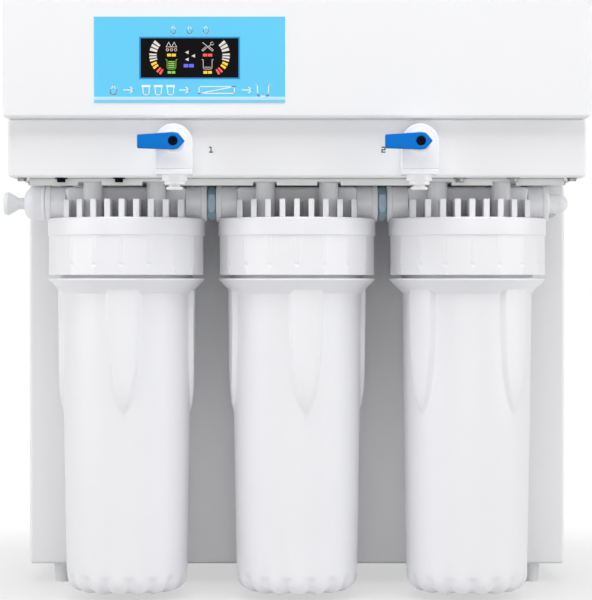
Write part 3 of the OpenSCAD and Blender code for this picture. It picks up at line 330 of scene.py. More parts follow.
def panel_film(colours):
    """Printed film: a matt emboss, with a pale stripe over a greyer band along its lower edge."""
    stripe_low, stripe_top, fade = 2.1 * MM, 4.4 * MM, 0.2 * MM
    finish = Finish()
    height = finish.axis("Z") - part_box("control_overlay")[0].z
    emboss = finish.noise(waves=3000, detail=1)
    tone = finish.noise(waves=10, detail=1)
    above = height.rise(stripe_low, stripe_low + fade)
    stripe = above * (1 - height.rise(stripe_top, stripe_top + fade))
    film = finish.shade(colours.film, tone, amount=0.025)
    film = finish.blend(0.9 * stripe, film, colours.stripe)
    film = finish.blend(0.5 * (1 - above), film, colours.band)
    return finish.surface(
        Base_Color=film, Roughness=0.42 + 0.1 * emboss, Normal=finish.bump(emboss, depth=6 * MICRON)
    )


def smoked_window(colour):
    """Smoked acrylic: near black and glossy, with faint polishing haze."""
    finish = Finish()
    haze = finish.noise(waves=120, detail=4)
    return finish.surface(
        Base_Color=finish.shade(colour, haze, amount=0.25),
        Roughness=0.2 + 0.1 * haze,
        Specular_IOR_Level=0.06,
    )


def lamp_segment(colour, strength):
    """Lit display segment, with the uneven glow of its lamp behind."""
    finish = Finish()
    glow = finish.noise(waves=700, detail=2)
    return finish.surface(
        Base_Color=finish.shade(tuple(0.6 * c for c in colour), glow, amount=0.2),
        Roughness=0.5,
        Emission_Color=finish.shade(colour, glow, amount=0.25),
        Emission_Strength=strength,
    )


def build_finishes(colours):
    """One material for each slot of the record, and those of the display and the prints."""
    made = {
        "white_paint": powder_coat(colours.coat, roughness=0.48, shine=0.25),
        "white_plastic": moulded(colours.plastic, roughness=0.34),
        "tap_white": moulded(colours.tap, roughness=0.28, coat=0.25),
        "foot_plastic": moulded(srgb(244, 245, 246), roughness=0.45),
        "grey_plastic": moulded(srgb(241, 242, 244), roughness=0.4),
        "link_grey": moulded(colours.link, roughness=0.32, coat=0.2),
        "bracket_steel": powder_coat(srgb(230, 231, 229), roughness=0.42),
        "screw_steel": metal(srgb(132, 132, 130), roughness=0.3, stretch=(1.0, 1.0, 0.1)),
        "lever_blue": moulded(colours.lever, roughness=0.42, shine=0.12),
        "socket_black": moulded(srgb(8, 8, 20), roughness=0.4, shine=0.05),
        "pale_rubber": moulded(srgb(206, 206, 204), roughness=0.55, grain_depth=30 * MICRON),
        "panel_blue": panel_film(colours),
        "display_black": smoked_window(colours.display),
        "board_green": circuit_board(srgb(28, 96, 60), srgb(70, 150, 90)),
        "rubber_black": moulded(srgb(34, 34, 36), roughness=0.62, grain_depth=30 * MICRON),
        "motor_grey": powder_coat(srgb(120, 122, 126), roughness=0.42),
        "case_aluminium": metal(srgb(200, 202, 204), roughness=0.4, stretch=(0.1, 1.0, 1.0)),
        "black_plastic": moulded(srgb(24, 24, 26), roughness=0.42, grain_depth=30 * MICRON),
        "cream_media": media(srgb(236, 232, 216), waves=500, depth=0.4 * MM),
        "carbon_media": media(srgb(38, 38, 38), waves=900, depth=0.3 * MM),
        "seat_white": moulded(srgb(238, 236, 226), roughness=0.5),
        "lit_white": lamp_segment(srgb(222, 212, 206), strength=0.5),
        "lit_amber": lamp_segment(srgb(250, 190, 40), strength=0.7),
        "lit_red": lamp_segment(srgb(240, 80, 74), strength=0.7),
        "lit_green": lamp_segment(srgb(126, 190, 76), strength=0.6),
        "lit_blue": lamp_segment(srgb(88, 92, 245), strength=0.8),
        "print_white": moulded(srgb(236, 246, 252), roughness=0.45),
        "print_dark": moulded(srgb(40, 48, 70), roughness=0.5),
        "film_edge": moulded(srgb(24, 140, 208), roughness=0.4),
    }
    for name, material in made.items():
        material.name = name
    return made


FINISHES = {}


def dress(piece, finish_name):
    """Gives a piece one finish."""
    piece.data.materials.clear()
    piece.data.materials.append(FINISHES[finish_name])


def seat(piece, body, slot, finish_name=None, replaces=()):
    """Ends a new piece: its finish, the slot's own unless another finish is named, the nodes it stands for
    and the body it rides on.
    """
    dress(piece, finish_name or slot)
    if replaces:
        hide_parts(*replaces)
    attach(piece, body)


class PURIFIER_OT_finishes(bpy.types.Operator):
    """Build the finishes and dress every node of the frame with its slot's finish"""

    bl_idname = "purifier.finishes"
    bl_label = "Finishes"

    def execute(self, context):
        FINISHES.update(build_finishes(context.scene.purifier_colours))
        for name, node in NODES.items():
            for slot in node.material_slots:
                slot.material = FINISHES[SLOT_OF[name]]
        return {"FINISHED"}


def deselect():
    """Leaves edit mode and deselects everything."""
    if bpy.context.mode != "OBJECT":
        bpy.ops.object.mode_set(mode="OBJECT")
    bpy.ops.object.select_all(action="DESELECT")


def pick(piece):
    """Selects one piece alone."""
    deselect()
    piece.select_set(True)
    bpy.context.view_layer.objects.active = piece


def settle(piece):
    """Puts a piece's place, turn and size into its mesh."""
    pick(piece)
    bpy.ops.object.transform_apply(location=True, rotation=True, scale=True)
    return piece


def open_with(piece, kind, test):
    """Opens a piece in edit mode with those of its faces or edges selected that pass a test."""
    pick(piece)
    layer = "polygons" if kind == "FACE" else "edges"
    chosen = [element.index for element in getattr(piece.data, layer) if test(element)]
    bpy.ops.object.mode_set(mode="EDIT")
    bpy.ops.mesh.select_mode(type=kind)
    bpy.ops.mesh.select_all(action="DESELECT")
    bpy.ops.object.mode_set(mode="OBJECT")
    for index in chosen:
        getattr(piece.data, layer)[index].select = True
    bpy.ops.object.mode_set(mode="EDIT")


def edit_faces(piece, direction):
    """Opens a piece with the faces selected that look in a direction."""
    aim = Vector(direction)
    open_with(piece, "FACE", lambda face: face.normal.dot(aim) > ALIGNED)


def edit_edges(piece, test):
    """Opens a piece with the edges selected that pass a test on the edge's two ends."""
    points = piece.data.vertices
    open_with(piece, "EDGE", lambda edge: test(*(points[i].co for i in edge.vertices)))


def close_edit():
    """Ends edit mode."""
    bpy.ops.object.mode_set(mode="OBJECT")


def middle(node):
    """Middle of a node's box."""
    low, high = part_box(node)
    return (low + high) / 2


def add_block(name, low, high):
    """A box between two corners."""
    deselect()
    low, high = Vector(low), Vector(high)
    bpy.ops.mesh.primitive_cube_add(size=1, location=(low + high) / 2, scale=high - low)
    piece = bpy.context.object
    piece.name = name
    return settle(piece)


def add_rod(name, start, end, radius, end_radius=None, sides=64):
    """A round rod between two points, or a cone where the end has a radius of its own."""
    deselect()
    start, end = Vector(start), Vector(end)
    run = end - start
    bpy.ops.mesh.primitive_cone_add(
        vertices=sides,
        radius1=radius,
        radius2=radius if end_radius is None else end_radius,
        depth=run.length,
        location=(start + end) / 2,
        rotation=run.to_track_quat("Z", "Y").to_euler(),
    )
    piece = bpy.context.object
    piece.name = name
    return settle(piece)


def draw_line(name, points):
    """A chain of edges through points, left open in edit mode with all of it selected."""
    deselect()
    bpy.ops.mesh.primitive_plane_add(size=1)
    piece = bpy.context.object
    piece.name = name
    bpy.ops.object.mode_set(mode="EDIT")
    bpy.ops.mesh.select_mode(type="VERT")
    bpy.ops.mesh.merge(type="CENTER")
    here = Vector(points[0])
    bpy.ops.transform.translate(value=here)
    for point in points[1:]:
        bpy.ops.mesh.extrude_vertices_move(TRANSFORM_OT_translate={"value": Vector(point) - here})
        here = Vector(point)
    bpy.ops.mesh.select_all(action="SELECT")
    return piece


def add_lathe(name, outline, place=(0, 0, 0), direction=UP, sides=96):
    """A turned piece: an outline of (radius, height) points, spun about a direction through a place."""
    piece = draw_line(name, [(0, radius, height) for radius, height in outline])
    bpy.ops.mesh.spin(steps=sides, angle=2 * math.pi, center=(0, 0, 0), axis=UP)
    bpy.ops.mesh.select_all(action="SELECT")
    bpy.ops.mesh.remove_doubles(threshold=MERGE)
    bpy.ops.mesh.normals_make_consistent(inside=False)
    close_edit()
    piece.rotation_euler = Vector(direction).to_track_quat("Z", "Y").to_euler()
    piece.location = place
    return settle(piece)


def add_plate(name, outline, front, depth):
    """A plate that faces the front: an outline of (x, z) points, given a depth from a front place in Y."""
    piece = draw_line(name, [(x, front + depth, z) for x, z in outline])
    bpy.ops.mesh.edge_face_add()
    bpy.ops.mesh.extrude_region_move(TRANSFORM_OT_translate={"value": (0, -depth, 0)})
    bpy.ops.mesh.select_all(action="SELECT")
    bpy.ops.mesh.normals_make_consistent(inside=False)
    close_edit()
    return piece


def arc(x, z, radius, start, end, steps):
    """Points of an arc from one angle to another, in degrees."""
    turns = [math.radians(start + (end - start) * i / steps) for i in range(steps + 1)]
    return [(x + radius * math.cos(a), z + radius * math.sin(a)) for a in turns]


def corner(radius, height, rounding, steps):
    """Points of the rounded outer corner of a turned piece."""
    return arc(radius - rounding, height - rounding, rounding, 0, 90, steps)


def apply_modifier(piece, kind, **settings):
    """Adds a modifier with its settings and applies it."""
    modifier = piece.modifiers.new(kind.lower(), kind)
    for key, value in settings.items():
        setattr(modifier, key, value)
    pick(piece)
    bpy.ops.object.modifier_apply(modifier=modifier.name)
    return piece


def round_edges(piece, width, segments=3, angle=32):
    """Rounds off all edges that are sharper than an angle."""
    return apply_modifier(
        piece, "BEVEL", width=width, segments=segments, limit_method="ANGLE", angle_limit=math.radians(angle)
    )


def smooth(piece, angle=38):
    """Smooth shading across edges that are blunter than an angle."""
    pick(piece)
    bpy.ops.object.shade_smooth_by_angle(angle=math.radians(angle))
    return piece


def smooth_sheet(piece):
    """Smooth shading that keeps broad flat faces flat beside their rounded edges."""
    return apply_modifier(smooth(piece), "WEIGHTED_NORMAL", keep_sharp=True)


def discard(piece):
    """Deletes a piece that is used up."""
    pick(piece)
    bpy.ops.object.delete()


def combine(piece, tool, operation):
    """Cuts, joins or intersects a piece with another one, which is used up."""
    apply_modifier(piece, "BOOLEAN", object=tool, operation=operation, solver="EXACT")
    discard(tool)
    return piece


def join(name, pieces):
    """Joins pieces into one."""
    pick(pieces[0])
    for piece in pieces[1:]:
        piece.select_set(True)
    bpy.ops.object.join()
    pieces[0].name = name
    return pieces[0]


def copy_to(piece, name, shift, turn=0.0):
    """A copy of a piece with its own mesh, turned about the upright axis and moved by a shift."""
    pick(piece)
    bpy.ops.object.duplicate(linked=False)
    made = bpy.context.object
    made.name = name
    made.location = shift
    made.rotation_euler.z = turn
    return settle(made)


def folded_box(name, low, high, sizes, open_sides):
    """A box of folded sheet, with a turned-in flange round each open side."""
    piece = add_block(name, low, high)
    for side in open_sides:
        edit_faces(piece, side)
        bpy.ops.mesh.inset(thickness=sizes.flange)
        bpy.ops.mesh.delete(type="FACE")
        close_edit()
    round_edges(piece, sizes.fold, segments=4, angle=60)
    return apply_modifier(piece, "SOLIDIFY", thickness=sizes.sheet, offset=-1, use_even_offset=True)


class PURIFIER_OT_cabinet(bpy.types.Operator):
    """Model the folded sheets: head cover, head tray and lower cabinet"""

    bl_idname = "purifier.cabinet"
    bl_label = "Cabinet"

    open_sides = {"head_cover": [DOWN], "head_tray": [UP], "lower_cabinet": [UP, BACK]}
    opening_half = (36.9 * MM, 15.3 * MM)
    tap_hole_r = 7.3 * MM
    outlet_hole_r = 8.1 * MM
    cut_depth = 4 * MM

    def execute(self, context):
        cuts = {
            "head_cover": [self.opening()],
            "head_tray": [self.hole("head_tray", f"tap_ball_{side}", self.tap_hole_r) for side in TAP_SIDES],
            "lower_cabinet": [self.hole("lower_cabinet", "outlet_grommet", self.outlet_hole_r)],
        }
        sizes = context.scene.purifier_sizes
        for node, tools in cuts.items():
            piece = folded_box(f"{node}_shell", *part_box(node), sizes, self.open_sides[node])
            for tool in tools:
                combine(piece, tool, "DIFFERENCE")
            seat(smooth_sheet(piece), "root", "white_paint", replaces=[node])
        return {"FINISHED"}

    def opening(self):
        """A block that cuts the display's opening into the head cover."""
        x, z = self.opening_half
        centre = middle("display_window")
        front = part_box("head_cover")[0].y
        return add_block(
            "opening",
            (centre.x - x, front - MM, centre.z - z),
            (centre.x + x, front + self.cut_depth, centre.z + z),
        )

    def hole(self, sheet, node, radius):
        """A rod that cuts a hole into a sheet's front, in line with a node."""
        centre = middle(node)
        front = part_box(sheet)[0].y
        start = (centre.x, front - MM, centre.z)
        return add_rod("hole", start, (centre.x, front + self.cut_depth, centre.z), radius)


def steps_between(start, end, count):
    """Evenly spaced values after the start, up to the end."""
    return [start + (end - start) * (i + 1) / count for i in range(count)]


def ease(value, start, end):
    """A smooth step from 0 at the start to 1 at the end."""
    t = min(1.0, max(0.0, (value - start) / (end - start)))
    return t * t * (3 - 2 * t)


def soft_max(first, second, width):
    """The larger of two values, with the corner between them rounded over a width."""
    gap = max(0.0, width - abs(first - second))
    return max(first, second) + gap * gap / (4 * width)


class PURIFIER_OT_sumps(bpy.types.Operator):
    """Turn the sumps, raise their grip ribs and lobes, and hang one under each filter head"""

    bl_idname = "purifier.sumps"
    bl_label = "Sumps"

    columns = 440
    floor_steps = 5
    corner_steps = 12
    lobe_steps = 4
    body_steps = 12
    rib_steps = 64
    flare_steps = 10
    bottom_r = 46.5 * MM
    bottom_round = 12 * MM
    recess_r = 21 * MM
    recess_h = 1.2 * MM
    middle_r = 48.5 * MM
    top_r = 49.5 * MM
    rim_r = 60 * MM
    rim_gap = 2.6 * MM
    rim_h = 1.2 * MM
    rim_round = 0.5 * MM
    flare_h = 10.2 * MM
    neck_r = 50.4 * MM
    bore_r = 45 * MM
    wall = 4 * MM
    floor_z = 5.6 * MM
    seat_r = 20 * MM
    seat_z = 10.6 * MM
    post_r = 13.4 * MM
    post_z = 16.6 * MM
    rib_l = 95 * MM
    rib_half = 13.3 * MM
    rib_side = 3 * MM
    rib_stand = 3.4 * MM
    rib_taper = 3
    rib_blunt = 0.62
    rib_run_out = 10
    rib_turns = {"left": 1, "middle": 8, "right": 42}
    lobe_depth = 2.2 * MM
    lobe_low = 10 * MM
    lobe_top = 16 * MM
    lobe_sharp = 1.5
    lobe_turn = math.radians(5)
    blend = 0.25 * MM

    def execute(self, context):
        low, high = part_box("sump_left")
        self.tall = high.z - low.z
        self.rim_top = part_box("filter_head_left")[0].z - self.rim_gap - low.z
        self.flare_top = self.rim_top - self.rim_h
        self.flare_low = self.flare_top - self.flare_h
        self.rib_top = self.flare_low + self.rib_stand
        self.rib_tip = self.rib_top - self.rib_l
        bowl = self.bowl(context.scene.purifier_sizes)
        for side in LEFT_TO_RIGHT:
            axis = middle(f"sump_seal_{side}")
            turn = math.radians(self.rib_turns[side])
            piece = copy_to(bowl, f"sump_{side}_bowl", (axis.x, axis.y, low.z), turn)
            seat(piece, f"bowl_{side}", "white_plastic", replaces=[f"sump_{side}"])
        discard(bowl)
        return {"FINISHED"}

    def outline(self):
        """Outline of a plain sump: up its outside, over the neck and down its inside."""
        core = self.bottom_r - self.bottom_round
        levels = steps_between(self.bottom_round, self.lobe_top, self.lobe_steps)
        levels += steps_between(self.lobe_top, self.rib_tip, self.body_steps)
        levels += steps_between(self.rib_tip, self.flare_low, self.rib_steps)
        levels += steps_between(self.flare_low, self.flare_top, self.flare_steps)
        return [
            (0, self.recess_h),
            (self.recess_r - 2 * self.recess_h, self.recess_h),
            (self.recess_r, 0),
            *[(r, 0) for r in steps_between(self.recess_r, core, self.floor_steps)[:-1]],
            *arc(core, self.bottom_round, self.bottom_round, -90, 0, self.corner_steps),
            *[(self.body_r(z), z) for z in levels],
            (self.rim_r, self.rim_top - self.rim_round),
            (self.rim_r - self.rim_round, self.rim_top),
            (self.neck_r, self.rim_top),
            (self.neck_r, self.tall - self.rim_round),
            (self.neck_r - self.rim_round, self.tall),
            (self.bore_r, self.tall),
            (self.bore_r, self.flare_low),
            (self.bottom_r - self.wall, self.bottom_round + MM),
            (core, self.floor_z),
            (self.seat_r, self.floor_z),
            (self.seat_r, self.seat_z),
            (self.post_r, self.seat_z),
            (self.post_r, self.post_z),
            (0, self.post_z),
        ]

    def body_r(self, z):
        """Radius of the plain body at a height, without its ribs and lobes."""
        rings = (
            (0, self.bottom_r),
            (self.lobe_top, self.bottom_r),
            (self.rib_tip, self.middle_r),
            (self.flare_low, self.top_r),
            (self.flare_top, self.rim_r),
        )
        for (z0, r0), (z1, r1) in zip(rings, rings[1:]):
            if z <= z1:
                return r0 + (r1 - r0) * (z - z0) / (z1 - z0)
        return self.rim_r

    def outer_face(self, radius, z):
        """Whether a point lies on the outside, below the rim."""
        if z > self.bottom_round:
            return z < self.flare_top - self.rim_round and radius > self.body_r(z) - self.wall / 2
        core = self.bottom_r - self.bottom_round
        from_core = math.hypot(radius - core, z - self.bottom_round)
        return z < self.rim_round or from_core > self.bottom_round - MM

    def with_rib(self, z, turn):
        """Radius at a height and at a turn from a rib's middle: a tongue with steep sides and a blunt tip."""
        plain = self.body_r(z)
        down = min(1.0, max(0.0, (self.rib_top - z) / self.rib_l))
        half = self.rib_half * (1 - down**self.rib_taper) ** self.rib_blunt
        side = min(self.rib_side, half)
        across = abs(turn) * plain
        if across >= half:
            return plain
        stand = self.rib_stand * (1 - down**self.rib_run_out) * (1 - ease(across, half - side, half))
        return soft_max(plain, self.body_r(min(z, self.flare_low)) + stand, self.blend)

    def with_lobes(self, radius, z, turn):
        """Radius and height of a point of the bottom edge, pushed in between two lobes."""
        out = max(0.0, radius - self.bottom_r + self.bottom_round)
        up = min(0.0, z - self.bottom_round)
        fade = 1 - ease(z, self.lobe_low, self.lobe_top)
        fade *= ease(radius, self.recess_r, self.recess_r + self.bottom_round)
        wave = (0.5 + 0.5 * math.cos(turn)) ** self.lobe_sharp
        push = self.lobe_depth * fade * wave / math.hypot(out, up)
        return radius - push * out, z - push * up

    def bowl(self, sizes):
        """A turned sump, with its first rib to the front, raised in ribs and pushed in between lobes."""
        piece = add_lathe("bowl", self.outline(), sides=self.columns)
        rib = 2 * math.pi / sizes.ribs
        for point in piece.data.vertices:
            radius, z = math.hypot(point.co.x, point.co.y), point.co.z
            if radius < self.recess_r + MM or not self.outer_face(radius, z):
                continue
            turn = math.atan2(point.co.y, point.co.x) + math.pi / 2
            if z <= self.lobe_top:
                reach, point.co.z = self.with_lobes(radius, z, (turn - self.lobe_turn) * sizes.lobes)
            else:
                reach = self.with_rib(z, (turn / rib + 0.5) % 1 * rib - rib / 2)
            point.co.x *= reach / radius
            point.co.y *= reach / radius
        return smooth(piece, angle=36)


class PURIFIER_OT_filter_heads(bpy.types.Operator):
    """Model one filter head with its panelled skirt, band, comb and ports, and copy it along the row"""

    bl_idname = "purifier.filter_heads"
    bl_label = "Filter heads"

    round_sides = 128
    edge = 0.4 * MM
    let_in = 1 * MM
    deck_drop = 29 * MM
    band_r = 60.5 * MM
    band_h = 13.5 * MM
    band_round = 1.6 * MM
    skirt_r = 60 * MM
    skirt_h = 30 * MM
    cavity_r = 51 * MM
    ceiling_t = 1.4 * MM
    groove_half = 0.8 * MM
    groove_depth = 0.45 * MM
    groove_rise = 8 * MM
    dimple_r = 1.5 * MM
    dimple_depth = 0.8 * MM
    panel_columns = 14
    panel_crowding = 0.9
    comb_ribs = 9
    comb_h = 13.5 * MM
    comb_r = 56 * MM
    comb_pitch = 10.8 * MM
    comb_t = 4.2 * MM
    comb_round = 0.5 * MM
    hub_round = 0.8 * MM
    boss_r = 14 * MM
    boss_l = 16 * MM
    boss_round = 1.2 * MM
    collar_l = 4.6 * MM
    collar_step = 0.7 * MM
    port_r = 9.5 * MM
    port_floor = 2 * MM
    crossing_half = 12.4 * MM
    crossing_round = 2.5 * MM
    pillar_r = 7.2 * MM
    pillar_draft = 0.6 * MM
    pillar_half = 24 * MM

    def execute(self, context):
        axis = middle("sump_seal_left")
        self.axis = Vector((axis.x, axis.y, 0))
        low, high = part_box("filter_head_left")
        self.deck_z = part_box("filter_bracket")[1].z - self.deck_drop
        self.root_z = self.deck_z - self.let_in
        self.band_z = self.deck_z - self.band_h
        self.pillar_z = high.z
        self.reach = (high.x - low.x) / 2
        self.port_z = middle("link_nipples").z
        skirt = self.skirt(context.scene.purifier_sizes)
        pieces = [skirt, self.band(), self.comb(), *self.ports(), *self.pillars()]
        head = smooth(join("filter_head_left_casting", pieces), angle=40)
        for side in LEFT_TO_RIGHT[1:]:
            made = copy_to(head, f"filter_head_{side}_casting", middle(f"sump_seal_{side}") - axis)
            seat(made, "root", "white_plastic", replaces=[f"filter_head_{side}"])
        seat(head, "root", "white_plastic", replaces=["filter_head_left"])
        return {"FINISHED"}

    def at(self, x, y, z):
        """A place off the head's axis."""
        return (self.axis.x + x, self.axis.y + y, z)

    def skirt(self, sizes):
        """Panelled skirt: flat panels with a groove at each corner, which ends in a dimple."""
        levels = [self.edge] + steps_between(self.edge, self.groove_rise - self.dimple_r, 2)
        levels += steps_between(levels[-1], self.groove_rise + self.dimple_r, 8)
        levels += steps_between(levels[-1], self.skirt_h, 4)
        outline = [(self.cavity_r, self.skirt_h), (self.cavity_r, 0), (self.skirt_r - self.edge, 0)]
        outline += [(self.skirt_r, z) for z in levels]
        piece = add_lathe("skirt", outline, sides=sizes.panels * self.panel_columns)
        step = 2 * math.pi / sizes.panels
        for point in piece.data.vertices:
            radius = math.hypot(point.co.x, point.co.y)
            panel, across = divmod((math.atan2(point.co.y, point.co.x) - math.pi / 2) / step, 1)
            across -= self.panel_crowding * math.sin(2 * math.pi * across) / (2 * math.pi)
            turn = (panel + across) * step + math.pi / 2
            if radius > self.cavity_r + MM:
                radius += self.panel_r(min(across, 1 - across) * step, step, point.co.z) - self.skirt_r
            point.co.x = radius * math.cos(turn)
            point.co.y = radius * math.sin(turn)
        piece.location = self.at(0, 0, self.band_z - self.skirt_h)
        return settle(piece)

    def panel_r(self, turn, step, z):
        """Radius of the skirt at a turn from the nearest groove and at a height."""
        flat = self.skirt_r * math.cos(step / 2) / math.cos(step / 2 - turn)
        aside = turn * self.skirt_r
        groove = 1 - ease(aside, 0, self.groove_half)
        groove *= ease(z, self.groove_rise, self.groove_rise + self.groove_half)
        dimple = max(0.0, 1 - (aside**2 + (z - self.groove_rise) ** 2) / self.dimple_r**2)
        return flat - max(self.groove_depth * groove, self.dimple_depth * dimple)

    def band(self):
        """Round band with the ceiling of the cavity under it."""
        outline = [(0, -self.ceiling_t), (self.cavity_r, -self.ceiling_t), (self.cavity_r, 0)]
        outline += [(self.band_r - self.edge, 0), (self.band_r, self.edge)]
        outline += corner(self.band_r, self.band_h, self.band_round, 5) + [(0, self.band_h)]
        return add_lathe("band", outline, self.at(0, 0, self.band_z), sides=self.round_sides)

    def comb(self):
        """Ribs across the deck, their ends cut to a circle."""
        half, top = self.comb_t / 2, self.deck_z + self.comb_h
        ribs = []
        for i in range(self.comb_ribs):
            x = (i - (self.comb_ribs - 1) / 2) * self.comb_pitch
            near = self.at(x - half, -self.comb_r - MM, self.root_z)
            ribs.append(add_block("rib", near, self.at(x + half, self.comb_r + MM, top)))
        below, above = self.at(0, 0, self.root_z - MM), self.at(0, 0, top + MM)
        limit = add_rod("limit", below, above, self.comb_r, sides=self.round_sides)
        piece = combine(join("comb", ribs), limit, "INTERSECT")
        return round_edges(piece, self.comb_round, segments=2, angle=60)

    def ports(self):
        """Squared crossing with a collared port boss at both ends, over a hub."""
        inner = self.reach - self.boss_l
        neck_r = self.boss_r - self.collar_step
        collar_z = self.boss_l - self.collar_l
        crossing = add_block(
            "crossing",
            self.at(-inner, -self.crossing_half, self.root_z),
            self.at(inner, self.crossing_half, self.port_z + self.crossing_half),
        )
        hub = add_rod("hub", self.at(0, 0, self.root_z), self.at(0, 0, self.deck_z + self.comb_h), neck_r)
        pieces = [
            round_edges(crossing, self.crossing_round, segments=4, angle=60),
            round_edges(hub, self.hub_round, segments=3, angle=60),
        ]
        outline = [(0, 0), (neck_r, 0), (neck_r, collar_z), (self.boss_r, collar_z + self.collar_step)]
        outline += corner(self.boss_r, self.boss_l, self.boss_round, 4)
        outline += [(self.port_r, self.boss_l), (self.port_r, self.port_floor), (0, self.port_floor)]
        for sign in (-1, 1):
            place = self.at(sign * inner, 0, self.port_z)
            pieces.append(add_lathe("boss", outline, place, (sign, 0, 0), sides=64))
        return pieces

    def pillars(self):
        """Screw pillars up to the bracket."""
        foot_r = self.pillar_r + self.pillar_draft
        pieces = []
        for x in (-self.pillar_half, self.pillar_half):
            for y in (-self.pillar_half, self.pillar_half):
                foot, head = self.at(x, y, self.root_z), self.at(x, y, self.pillar_z)
                pieces.append(add_rod("pillar", foot, head, foot_r, self.pillar_r, sides=48))
        return pieces


class PURIFIER_OT_taps(bpy.types.Operator):
    """Model the tap bodies, outlets, collets and levers"""

    bl_idname = "purifier.taps"
    bl_label = "Taps"

    width = 27 * MM
    depth = 30 * MM
    arch = 13.2 * MM
    drop = 20 * MM
    body_round = 0.9 * MM
    bonnet_r = 8 * MM
    bonnet_h = 3 * MM
    bonnet_round = 0.6 * MM
    shank_r = 7 * MM
    shank_l = 22 * MM
    plate_h = 4 * MM
    plate_round = 0.7 * MM
    outlet_steps = ((0, 2), (9.4, 2), (9.4, -4), (9, -4.4), (7.7, -4.4), (7.7, -6.6), (7.3, -7), (0, -7))
    bore_r = 4.6 * MM
    bore_drop = 8 * MM
    collet_room = 1.7 * MM
    collet_bore_r = 3.25 * MM
    collet_r = 4.35 * MM
    collet_lip = 0.4 * MM
    flange_h = 2.2 * MM
    flange_low = 0.6 * MM
    flange_top = 0.5 * MM
    lever_outline = ((-26, -5.3), (0, -6.3), (3.6, -5.7), (8.6, 0), (3.6, 5.7), (0, 6.3), (-26, 4.5))
    lever_round = 0.8 * MM
    recess_r = 3.6 * MM
    recess_depth = 3 * MM
    rim_round = 0.3 * MM
    rim_near = 0.1 * MM

    def execute(self, context):
        self.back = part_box("head_tray")[0].y
        self.front = self.back - self.depth
        self.outlet_y = self.back - self.depth / 2
        for side in TAP_SIDES:
            self.x = middle(f"tap_body_{side}").x
            self.z = middle(f"tap_ball_{side}").z
            self.body(side)
            self.outlet(side)
            self.collet(side)
            self.lever(side)
        return {"FINISHED"}

    def body(self, side):
        """Arched body with a bonnet round the lever's stem and a shank through the tray."""
        half, foot = self.width / 2, self.z - self.drop
        outline = [(self.x - half, foot), (self.x + half, foot)]
        outline += arc(self.x, self.z + self.arch - half, half, 0, 180, 24)
        piece = round_edges(add_plate("body", outline, self.front, self.depth), self.body_round, angle=40)
        rim = corner(self.bonnet_r, self.bonnet_h, self.bonnet_round, 3)
        outline = [(0, 0), (self.bonnet_r, 0), *rim, (0, self.bonnet_h)]
        bonnet = add_lathe("bonnet", outline, (self.x, self.front, self.z), FRONT, sides=48)
        start = (self.x, self.back - MM, self.z)
        shank = add_rod("shank", start, (self.x, self.back + self.shank_l, self.z), self.shank_r)
        piece = join(f"tap_body_{side}_moulding", [piece, bonnet, shank])
        seat(smooth(piece), "root", "tap_white", replaces=[f"tap_body_{side}"])

    def outlet(self, side):
        """Plate under the body with a stepped outlet, bored for the collet."""
        half, top = self.width / 2, self.z - self.drop
        low = top - self.plate_h
        bore_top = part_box(f"tap_collet_{side}")[1].z + self.collet_room
        plate = add_block("plate", (self.x - half, self.front, low), (self.x + half, self.back, top))
        outline = [(radius * MM, height * MM) for radius, height in self.outlet_steps]
        steps = add_lathe("steps", outline, (self.x, self.outlet_y, low), sides=64)
        start = (self.x, self.outlet_y, low - self.bore_drop)
        bore = add_rod("bore", start, (self.x, self.outlet_y, bore_top), self.bore_r)
        piece = combine(round_edges(plate, self.plate_round), steps, "UNION")
        combine(piece, bore, "DIFFERENCE")
        piece.name = f"tap_outlet_{side}_moulding"
        seat(smooth(piece), "root", "tap_white", replaces=[f"tap_outlet_{side}"])

    def collet(self, side):
        """Flanged ring that holds the tube."""
        low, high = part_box(f"tap_collet_{side}")
        inner, outer, flange = self.collet_bore_r, self.collet_r, (high.x - low.x) / 2
        lip, tall = self.collet_lip, high.z - low.z
        outline = [
            (inner + lip, 0),
            (flange - self.flange_low, 0),
            (flange, self.flange_low),
            (flange, self.flange_h - self.flange_top),
            (flange - self.flange_top, self.flange_h),
            (outer, self.flange_h),
            (outer, tall),
            (inner, tall),
            (inner, lip),
            (inner + lip, 0),
        ]
        piece = add_lathe(f"tap_collet_{side}_ring", outline, (self.x, self.outlet_y, low.z), sides=48)
        seat(smooth(piece), f"collet_{side}", "tap_white", replaces=[f"tap_collet_{side}"])

    def lever(self, side):
        """Tapered lever with a rounded recess for its screw."""
        low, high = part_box(f"tap_lever_{side}")
        outline = [(self.x + x * MM, self.z + z * MM) for x, z in self.lever_outline]
        piece = add_plate(f"tap_lever_{side}_handle", outline, low.y, high.y - low.y)
        round_edges(piece, self.lever_round, angle=25)
        start, end = (self.x, low.y - MM, self.z), (self.x, low.y + self.recess_depth, self.z)
        combine(piece, add_rod("recess", start, end, self.recess_r, sides=48), "DIFFERENCE")
        mouth = Vector((self.x, low.y, self.z))
        edit_edges(piece, lambda a, b: max(self.off_rim(a - mouth), self.off_rim(b - mouth)) < self.rim_near)
        bpy.ops.mesh.bevel(offset=self.rim_round, segments=3)
        close_edit()
        seat(smooth(piece, angle=30), f"lever_{side}", "lever_blue", replaces=[f"tap_lever_{side}"])

    def off_rim(self, point):
        """How far a point lies from the recess's rim, given from the middle of its mouth."""
        return math.hypot(math.hypot(point.x, point.z) - self.recess_r, point.y)


